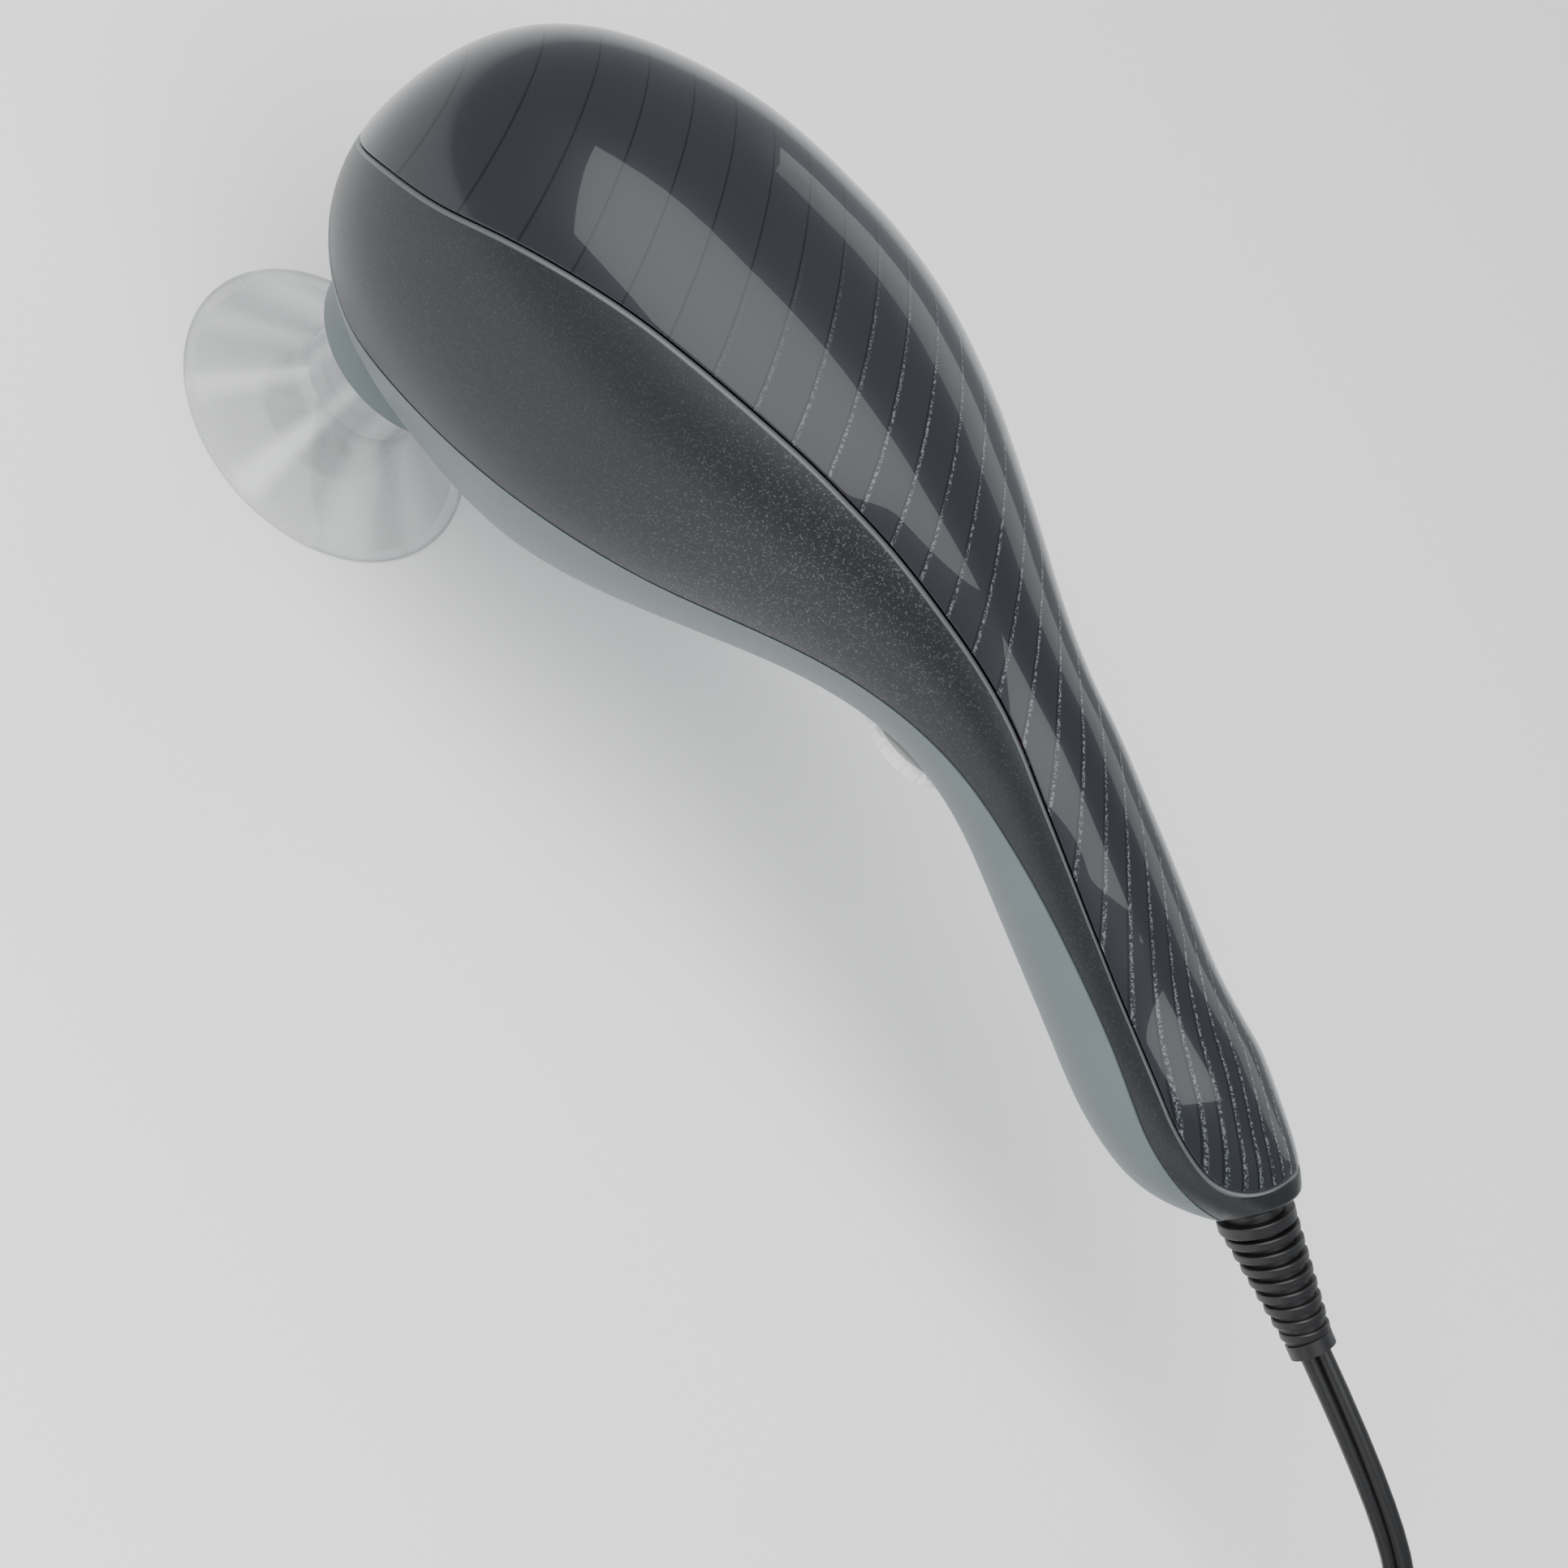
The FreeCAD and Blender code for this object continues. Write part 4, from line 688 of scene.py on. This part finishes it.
def glossy_cover_material(finish):
    """Tinted glossy lens over slanting pinstripes with silver glitter."""
    material, tree, shader = start_material("glossy tinted cover", Coat_Weight=0.62,
                                            Coat_Roughness=0.012, Coat_IOR=1.38, IOR=1.25)
    point = millimetres(tree)
    x, y = split_axes(tree, point)
    steep = calc(tree, "POWER", calc(tree, "MULTIPLY", x, 1 / STRIPE_STEEP_X), 4.0)
    lean = calc(tree, "ADD", calc(tree, "MULTIPLY_ADD", x, STRIPE_LEAN_PER_MM, STRIPE_LEAN),
                calc(tree, "MULTIPLY", steep, STRIPE_STEEP_END))
    along = calc(tree, "MULTIPLY_ADD", lean, y, x)
    pitch = finish.stripe_pitch / MM
    past = calc(tree, "SUBTRACT", along, STRIPE_START - STRIPES_BEFORE_START * pitch)
    turn = calc(tree, "FRACT", calc(tree, "DIVIDE", past, pitch))
    spread = calc(tree, "SQRT", calc(tree, "MULTIPLY_ADD", lean, lean, 1.0))
    off = calc(tree, "DIVIDE", calc(tree, "MULTIPLY", turn, pitch), spread)
    line = between(tree, off, *STRIPE_LINE)
    band = between(tree, off, *STRIPE_GLITTER_BAND)
    sparkle = ramp(tree, flecks(tree, point, 2.7), *GLITTER_CELLS)
    onset = ramp(tree, x, *GLITTER_ONSET)
    glitter = calc(tree, "MULTIPLY", calc(tree, "MULTIPLY", band, sparkle), onset)
    tint = cloud_colour(tree, noise(tree, point, 0.012, 1.0), finish.cover_colour, 0.85, 1.2)
    darker = mix_colour(tree, calc(tree, "MULTIPLY", line, LINE_DEPTH), tint, LINE_COLOUR)
    silver = mix_colour(tree, calc(tree, "MULTIPLY", glitter, GLITTER_STRENGTH), darker, GLITTER_COLOUR)
    tree.links.new(silver, shader.inputs["Base Color"])
    vary_roughness(tree, shader, noise(tree, point, 0.4), 0.26, 0.34)
    return material


# painted sheen: the real flecks are painted brighter over the neck, standing in for light caught there
FLECK_SHEEN_SPAN = ((45.0, 95.0), (110.0, 160.0))    # x where the flecks are painted brightest, a painted sheen
FLECK_CELLS = (0.78, 1.0)
FLECK_STRENGTH = 0.16
FLECK_SHEEN_STRENGTH = 0.50
FLECK_AND_SHEEN_COLOUR = (0.075, 0.086, 0.094)
# painted highlight: the rounded lip is painted paler, standing in for light caught by its edge
LIP_HIGHLIGHT_STRENGTH = 0.9
LIP_HIGHLIGHT_COLOUR = (0.085, 0.092, 0.098)


def fleck_satin_material(finish):
    """Charcoal satin with fine metallic flecks, a painted sheen over the neck and a painted highlight on
    the rounded lip.
    """
    material, tree, shader = start_material("charcoal fleck satin", Coat_Weight=0.2,
                                            Coat_Roughness=0.30, Coat_IOR=1.40, IOR=1.42)
    point = millimetres(tree)
    lip = tree.nodes.new("ShaderNodeAttribute")
    lip.attribute_name = "lip"
    x = split_axes(tree, point)[0]
    # real flecks everywhere, with a painted sheen that makes them brighter over the neck
    sheen_band = between(tree, x, *FLECK_SHEEN_SPAN)
    flecks_and_sheen = calc(tree, "MULTIPLY", ramp(tree, flecks(tree, point, 3.2), *FLECK_CELLS),
                 calc(tree, "MULTIPLY_ADD", sheen_band, FLECK_SHEEN_STRENGTH, FLECK_STRENGTH))
    colour = cloud_colour(tree, noise(tree, point, 0.05, 2.0), finish.housing_colour, 0.88, 1.15)
    flecked = mix_colour(tree, flecks_and_sheen, colour, FLECK_AND_SHEEN_COLOUR)
    # painted highlight along the rounded lip
    lip_highlight = calc(tree, "MULTIPLY", lip.outputs["Fac"], LIP_HIGHLIGHT_STRENGTH)
    tree.links.new(mix_colour(tree, lip_highlight, flecked, LIP_HIGHLIGHT_COLOUR), shader.inputs["Base Color"])
    vary_roughness(tree, shader, noise(tree, point, 1.6), 0.34, 0.46)
    bump(tree, noise(tree, point, 5.0, 2.0), 0.012, shader)
    return material


def satin_shell_material(finish):
    """Blue-grey satin with a fine moulded grain."""
    material, tree, shader = start_material("blue-grey satin", Metallic=0.10, IOR=1.36)
    point = millimetres(tree)
    vary_colour(tree, shader, finish.shell_colour, noise(tree, point, 0.06, 2.0), 0.05)
    vary_roughness(tree, shader, noise(tree, point, 2.0), 0.36, 0.46)
    bump(tree, noise(tree, point, 4.0, 2.0), 0.010, shader)
    return material


DISC_RIM = (37.2, 38.0)         # mm from the disc's axis, over which its rim begins
DISC_NECK = (15.0, 18.0)        # and over which its neck ends
DISC_EDGE_COLOUR = (0.30, 0.31, 0.32)
RIM_SHADE = 0.65                # how far the rim and the neck go to that colour
NECK_SHADE = 0.55
# painted reflections: paler rays round the disc's axis, painted shade between them
REFLECTION_RAYS = 1.9                      # fineness of the painted reflections: paler rays, clearer vinyl between them
REFLECTION_RAY_EDGES = (0.38, 0.62)
SHADE_BETWEEN_REFLECTIONS = 0.72                # how dark the painted shade between the painted reflections is
VEIL = 0.18                     # how much of what is behind the vinyl it hides everywhere
REFLECTION_RAY_VEIL = 0.22                 # and what the painted reflection rays, the rim and the neck hide besides
RIM_VEIL = 0.35
NECK_VEIL = 0.42


def clear_vinyl_material(finish):
    """Clear vinyl with painted reflections: paler rays round its axis, painted shade and clearer vinyl
    between them, and a darker rim.
    """
    material, tree, shader = start_material("clear vinyl", Coat_Weight=1.0, Coat_Roughness=0.04, IOR=1.45)
    point = millimetres(tree)
    x, y = split_axes(tree, point)
    flat = tree.nodes.new("ShaderNodeCombineXYZ")
    tree.links.new(x, flat.inputs["X"])
    tree.links.new(y, flat.inputs["Y"])
    heading = tree.nodes.new("ShaderNodeVectorMath")
    heading.operation = "NORMALIZE"
    tree.links.new(flat.outputs["Vector"], heading.inputs[0])
    reach = tree.nodes.new("ShaderNodeVectorMath")
    reach.operation = "LENGTH"
    tree.links.new(flat.outputs["Vector"], reach.inputs[0])
    # painted reflections as rays round the axis
    reflection_ray = ramp(tree, noise(tree, heading.outputs["Vector"], REFLECTION_RAYS, 0.5), *REFLECTION_RAY_EDGES)
    rim = ramp(tree, reach.outputs["Value"], *DISC_RIM)
    neck = calc(tree, "SUBTRACT", 1.0, ramp(tree, reach.outputs["Value"], *DISC_NECK))
    reflection_rayed = cloud_colour(tree, reflection_ray, finish.vinyl_colour, SHADE_BETWEEN_REFLECTIONS, 1.0)
    shade = calc(tree, "MAXIMUM", calc(tree, "MULTIPLY", rim, RIM_SHADE),
                 calc(tree, "MULTIPLY", neck, NECK_SHADE))
    edged = mix_colour(tree, shade, reflection_rayed, DISC_EDGE_COLOUR)
    tree.links.new(edged, shader.inputs["Base Color"])
    veil = calc(tree, "MULTIPLY_ADD", reflection_ray, REFLECTION_RAY_VEIL, VEIL)
    veil = calc(tree, "MULTIPLY_ADD", neck, NECK_VEIL, veil)
    tree.links.new(calc(tree, "MULTIPLY_ADD", rim, RIM_VEIL, veil), shader.inputs["Alpha"])
    vary_roughness(tree, shader, noise(tree, point, 0.10, 2.0), 0.06, 0.14)
    return material


def moulded_material(name, colour, rough=0.4, grain=0.012, metallic=0.0):
    """Moulded plastic, rubber or cast metal: slight cloud, slight grain."""
    material, tree, shader = start_material(name, Metallic=metallic)
    point = millimetres(tree)
    vary_colour(tree, shader, colour, noise(tree, point, 0.15, 2.0), 0.07)
    vary_roughness(tree, shader, noise(tree, point, 1.5), rough - 0.05, rough + 0.06)
    bump(tree, noise(tree, point, 4.5, 2.0), grain, shader)
    return material


def turned_metal_material(name, colour, rough=0.25):
    """Machined metal with fine rings."""
    material, tree, shader = start_material(name, Metallic=1.0)
    point = millimetres(tree, (1.0, 1.0, 6.0))
    vary_colour(tree, shader, colour, noise(tree, point, 0.8), 0.10)
    vary_roughness(tree, shader, noise(tree, point, 2.5), rough - 0.08, rough + 0.10)
    return material


def paint(names, material):
    """Gives CAD nodes a finish."""
    for name in names:
        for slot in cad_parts[name].material_slots:
            slot.material = material


# ---------------------------------------------------------------- cord
def coil_points():
    """Control points of the coil's turns: inwards on the floor, then outwards on top."""
    half = COIL_SWEEP / 2
    low, high = COIL_HEIGHTS
    count = round(COIL_SWEEP / 360 * POINTS_PER_TURN)
    points = []
    for k in range(1, count):
        swept = COIL_SWEEP * k / count
        radius = COIL_INNER_R + (COIL_OUTER_R - COIL_INNER_R) * abs(swept - half) / half
        climbed = min(max((swept - half) / COIL_CLIMB + 0.5, 0.0), 1.0)
        angle = math.radians(COIL_START - swept)
        points.append((COIL_CENTRE[0] + radius * math.cos(angle),
                       COIL_CENTRE[1] + radius * math.sin(angle), low + (high - low) * climbed))
    return points


def cord_line():
    """Close points along the cord's NURBS line, from the strain relief to the plug, in millimetres."""
    controls = [RELIEF_TIP] + LEAD_ROUTE + coil_points() + TAIL_ROUTE
    data = bpy.data.curves.new("cord route", "CURVE")
    data.dimensions = "3D"
    data.resolution_u = 8
    spline = data.splines.new("NURBS")
    spline.points.add(len(controls) - 1)
    for point, place in zip(spline.points, controls):
        point.co = (*place, 1.0)
    spline.order_u = 3
    spline.use_endpoint_u = True
    carrier = bpy.data.objects.new("cord route", data)
    line = bpy.data.meshes.new_from_object(carrier)
    points = [v.co.copy() for v in line.vertices]
    bpy.data.meshes.remove(line)
    bpy.data.objects.remove(carrier)
    bpy.data.curves.remove(data)
    return points


def twin_section(width, thickness, count=16):
    """Outline of two round cores side by side: (across, through)."""
    core = thickness / 2
    shift = width / 2 - core
    groove = math.acos(-shift / core)
    angles = [groove * (2 * k / count - 1) for k in range(count)]
    right = [(shift + core * math.cos(a), core * math.sin(a)) for a in angles]
    return right + [(-across, -through) for across, through in right]


def cord_rows(line, cord):
    """The section set square to the line at each of its points."""
    outline = twin_section(cord.width / MM, cord.thickness / MM)
    rows, gone = [], 0.0
    for i, point in enumerate(line):
        before, after = line[max(i - 1, 0)], line[min(i + 1, len(line) - 1)]
        ahead = (after - before).normalized()
        gone += (point - before).length
        side = ahead.cross(Vector((0, 0, 1))).normalized()
        up = side.cross(ahead)
        roll = cord.roll * max(0.0, 1 - gone / (cord.roll_length / MM)) ** 2
        wide = up * math.cos(roll) + side * math.sin(roll)
        thick = ahead.cross(wide)
        ring = [point + wide * a + thick * b for a, b in outline]
        rows.append(ring + ring[:1])
    return rows


# ---------------------------------------------------------------- operators
class WAND_OT_stage(bpy.types.Operator):
    """Pale floor, softboxes and the camera"""
    bl_idname = "wand.stage"
    bl_label = "Stage"

    def execute(self, context):
        studio = context.scene.wand_studio
        mesh = bmesh.new()
        bmesh.ops.create_grid(mesh, x_segments=2, y_segments=2, size=FLOOR_HALF_SIZE)
        data = bpy.data.meshes.new("floor")
        mesh.to_mesh(data)
        mesh.free()
        data.materials.append(start_material("pale floor", Roughness=0.9,
                                             Base_Color=(*studio.floor_colour, 1.0))[0])
        floor = bpy.data.objects.new("floor", data)
        context.scene.collection.objects.link(floor)
        world = bpy.data.worlds.new("studio")
        world.use_nodes = True
        background = world.node_tree.nodes["Background"]
        background.inputs["Color"].default_value = SKY_COLOUR
        background.inputs["Strength"].default_value = studio.sky
        context.scene.world = world
        softbox("near softbox", power=studio.key_power, **NEAR_SOFTBOX)
        softbox("far softbox", power=studio.fill_power, **FAR_SOFTBOX)
        place_camera(context, studio)
        return {"FINISHED"}


def softbox(name, place, target, size, power):
    """Rectangular light that looks at a point."""
    data = bpy.data.lights.new(name, "AREA")
    data.shape = "RECTANGLE"
    data.size, data.size_y = size
    data.energy = power
    light = bpy.data.objects.new(name, data)
    light.location = place
    light.rotation_euler = (Vector(target) - Vector(place)).to_track_quat("-Z", "Y").to_euler()
    bpy.context.scene.collection.objects.link(light)


def place_camera(context, studio):
    """Looks down on the near side, rolled so that the handle runs down to the right."""
    back = CAMERA_RIGHT.cross(CAMERA_UP).normalized()
    data = bpy.data.cameras.new("camera")
    data.lens = studio.lens
    data.sensor_width = SENSOR_WIDTH
    camera = bpy.data.objects.new("camera", data)
    turn = Matrix((CAMERA_RIGHT, CAMERA_UP, back)).transposed().to_4x4()
    camera.matrix_world = Matrix.Translation(CAMERA_TARGET + back * studio.distance) @ turn
    context.scene.collection.objects.link(camera)
    context.scene.camera = camera


class WAND_OT_cord(bpy.types.Operator):
    """Twin cord from the strain relief round its coil to the plug"""
    bl_idname = "wand.cord"
    bl_label = "Cord"

    def execute(self, context):
        cord, finish = context.scene.wand_cord, context.scene.wand_finish
        line = cord_line()
        mesh = skin_mesh(cord_rows(line, cord))
        bmesh.ops.remove_doubles(mesh, verts=mesh.verts, dist=MERGE)
        bmesh.ops.holes_fill(mesh, edges=[e for e in mesh.edges if e.is_boundary], sides=0)
        bmesh.ops.recalc_face_normals(mesh, faces=mesh.faces)
        black = moulded_material("black cord", finish.cord_colour, 0.38)
        obj = make_object(mesh, "cord", black, "housing", 75.0)
        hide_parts("cord_lead", "cord_coil", "cord_tail")
        paint(["strain_relief"], moulded_material("black rubber", finish.cord_colour, 0.42))
        paint(["plug_body"], moulded_material("black plug", finish.cord_colour, 0.45, 0.02))
        paint(["cord_inner"], black)
        paint(["plug_blades"], turned_metal_material("brass", (0.72, 0.55, 0.25)))
        return {"FINISHED"}


class WAND_OT_top_cover(bpy.types.Operator):
    """Glossy tinted cover with slanting pinstripes"""
    bl_idname = "wand.top_cover"
    bl_label = "Top cover"

    def execute(self, context):
        skin, finish = context.scene.wand_skin, context.scene.wand_finish
        mesh = skin_mesh(cover_rows(skin))
        close_skin(mesh, skin.cover_wall / MM)
        obj = make_object(mesh, "glossy_cover", glossy_cover_material(finish), "housing")
        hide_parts("top_cover")
        return {"FINISHED"}


class WAND_OT_upper_housing(bpy.types.Operator):
    """Charcoal housing between the cover and the lower shell"""
    bl_idname = "wand.upper_housing"
    bl_label = "Upper housing"

    def execute(self, context):
        skin, finish = context.scene.wand_skin, context.scene.wand_finish
        rows, face_rows = housing_rows(skin)
        mesh = skin_mesh(rows, len(LIP_ANGLES))
        add_mesh(mesh, skin_mesh(face_rows))
        close_skin(mesh, skin.housing_wall / MM)
        obj = make_object(mesh, "charcoal_housing", fleck_satin_material(finish),
                          "housing")
        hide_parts("upper_housing")
        return {"FINISHED"}


class WAND_OT_lower_shell(bpy.types.Operator):
    """Blue-grey lower shell with its collar and screws"""
    bl_idname = "wand.lower_shell"
    bl_label = "Lower shell"

    def execute(self, context):
        finish = context.scene.wand_finish
        paint(["lower_shell"], satin_shell_material(finish))
        paint(["housing_screws"], turned_metal_material("screw steel", (0.55, 0.55, 0.56)))
        paint(["collar_seal"], moulded_material("seal rubber", (0.02, 0.02, 0.022), 0.6))
        return {"FINISHED"}


class WAND_OT_disc(bpy.types.Operator):
    """Clear disc, its flat face and the post it is pushed on"""
    bl_idname = "wand.disc"
    bl_label = "Disc"

    def execute(self, context):
        finish = context.scene.wand_finish
        paint(["disc_cup", "disc_face"], clear_vinyl_material(finish))
        paint(["output_post"], moulded_material("grey post", (0.30, 0.31, 0.31), 0.30))
        paint(["o_ring"], moulded_material("ring rubber", (0.02, 0.02, 0.02), 0.5))
        return {"FINISHED"}


class WAND_OT_dial(bpy.types.Operator):
    """Speed dial under the neck"""
    bl_idname = "wand.dial"
    bl_label = "Dial"

    def execute(self, context):
        finish = context.scene.wand_finish
        paint(["dial_knob"], moulded_material("pale dial", finish.dial_colour, 0.35, 0.01))
        paint(["dial_spindle"], turned_metal_material("spindle steel", (0.50, 0.50, 0.52)))
        return {"FINISHED"}


INNER_METALS = {
    "steel": (["post_screw", "crank_bearing", "anti_turn_pins", "motor_shaft", "motor_can",
               "motor_bearings", "frame_screws", "motor_screws", "board_screws", "clamp_screws"],
              (0.56, 0.57, 0.58), 0.28),
    "iron": (["armature_core", "counterweight", "crank_hub"], (0.30, 0.30, 0.31), 0.42),
    "copper": (["armature_windings", "commutator"], (0.72, 0.36, 0.20), 0.30),
}
INNER_MOULDINGS = {
    "ferrite": (["motor_magnets", "motor_brushes"], (0.035, 0.035, 0.037), 0.6),
    "black plastic": (["motor_frame", "motor_end_cap", "cooling_fan", "stem_carrier",
                       "potentiometer", "board_components", "cord_clamp"],
                      (0.035, 0.036, 0.038), 0.45),
    "grommet rubber": (["vibration_grommets"], (0.02, 0.02, 0.02), 0.65),
    "board green": (["control_board"], (0.02, 0.16, 0.07), 0.40),
    "lead insulation": (["mains_leads", "motor_leads"], (0.30, 0.03, 0.025), 0.45),
}


class WAND_OT_inner_parts(bpy.types.Operator):
    """Finishes of the motor, crank, board and wires inside"""
    bl_idname = "wand.inner_parts"
    bl_label = "Inner parts"

    def execute(self, context):
        for make, finishes in ((turned_metal_material, INNER_METALS), (moulded_material, INNER_MOULDINGS)):
            for name, (nodes, colour, rough) in finishes.items():
                paint(nodes, make(name, colour, rough))
        return {"FINISHED"}


STEPS = (WAND_OT_stage, WAND_OT_cord, WAND_OT_top_cover, WAND_OT_upper_housing, WAND_OT_lower_shell,
         WAND_OT_disc, WAND_OT_dial, WAND_OT_inner_parts)


class WAND_PT_panel(bpy.types.Panel):
    """Lists the pieces and their settings"""
    bl_idname = "WAND_PT_panel"
    bl_label = "Wand massager"
    bl_space_type = "VIEW_3D"
    bl_region_type = "UI"
    bl_category = "Wand massager"

    def draw(self, context):
        for step in STEPS:
            self.layout.operator(step.bl_idname)
        for group in (context.scene.wand_skin, context.scene.wand_finish, context.scene.wand_cord,
                      context.scene.wand_studio):
            box = self.layout.box()
            for name in group.__annotations__:
                box.prop(group, name)


SETTINGS = {"wand_skin": SkinSettings, "wand_finish": FinishSettings, "wand_cord": CordSettings,
            "wand_studio": StudioSettings}


def register():
    """Adds the settings, the operators and the panel."""
    for made in (*SETTINGS.values(), *STEPS, WAND_PT_panel):
        bpy.utils.register_class(made)
    for name, group in SETTINGS.items():
        setattr(bpy.types.Scene, name, PointerProperty(type=group))


def unregister():
    """Takes them away again."""
    for name in SETTINGS:
        delattr(bpy.types.Scene, name)
    for made in (WAND_PT_panel, *reversed(STEPS), *SETTINGS.values()):
        bpy.utils.unregister_class(made)


def main():
    """Builds everything."""
    register()
    for step in STEPS:
        group, name = step.bl_idname.split(".")
        getattr(getattr(bpy.ops, group), name)()


if __name__ == "__main__":
    main()
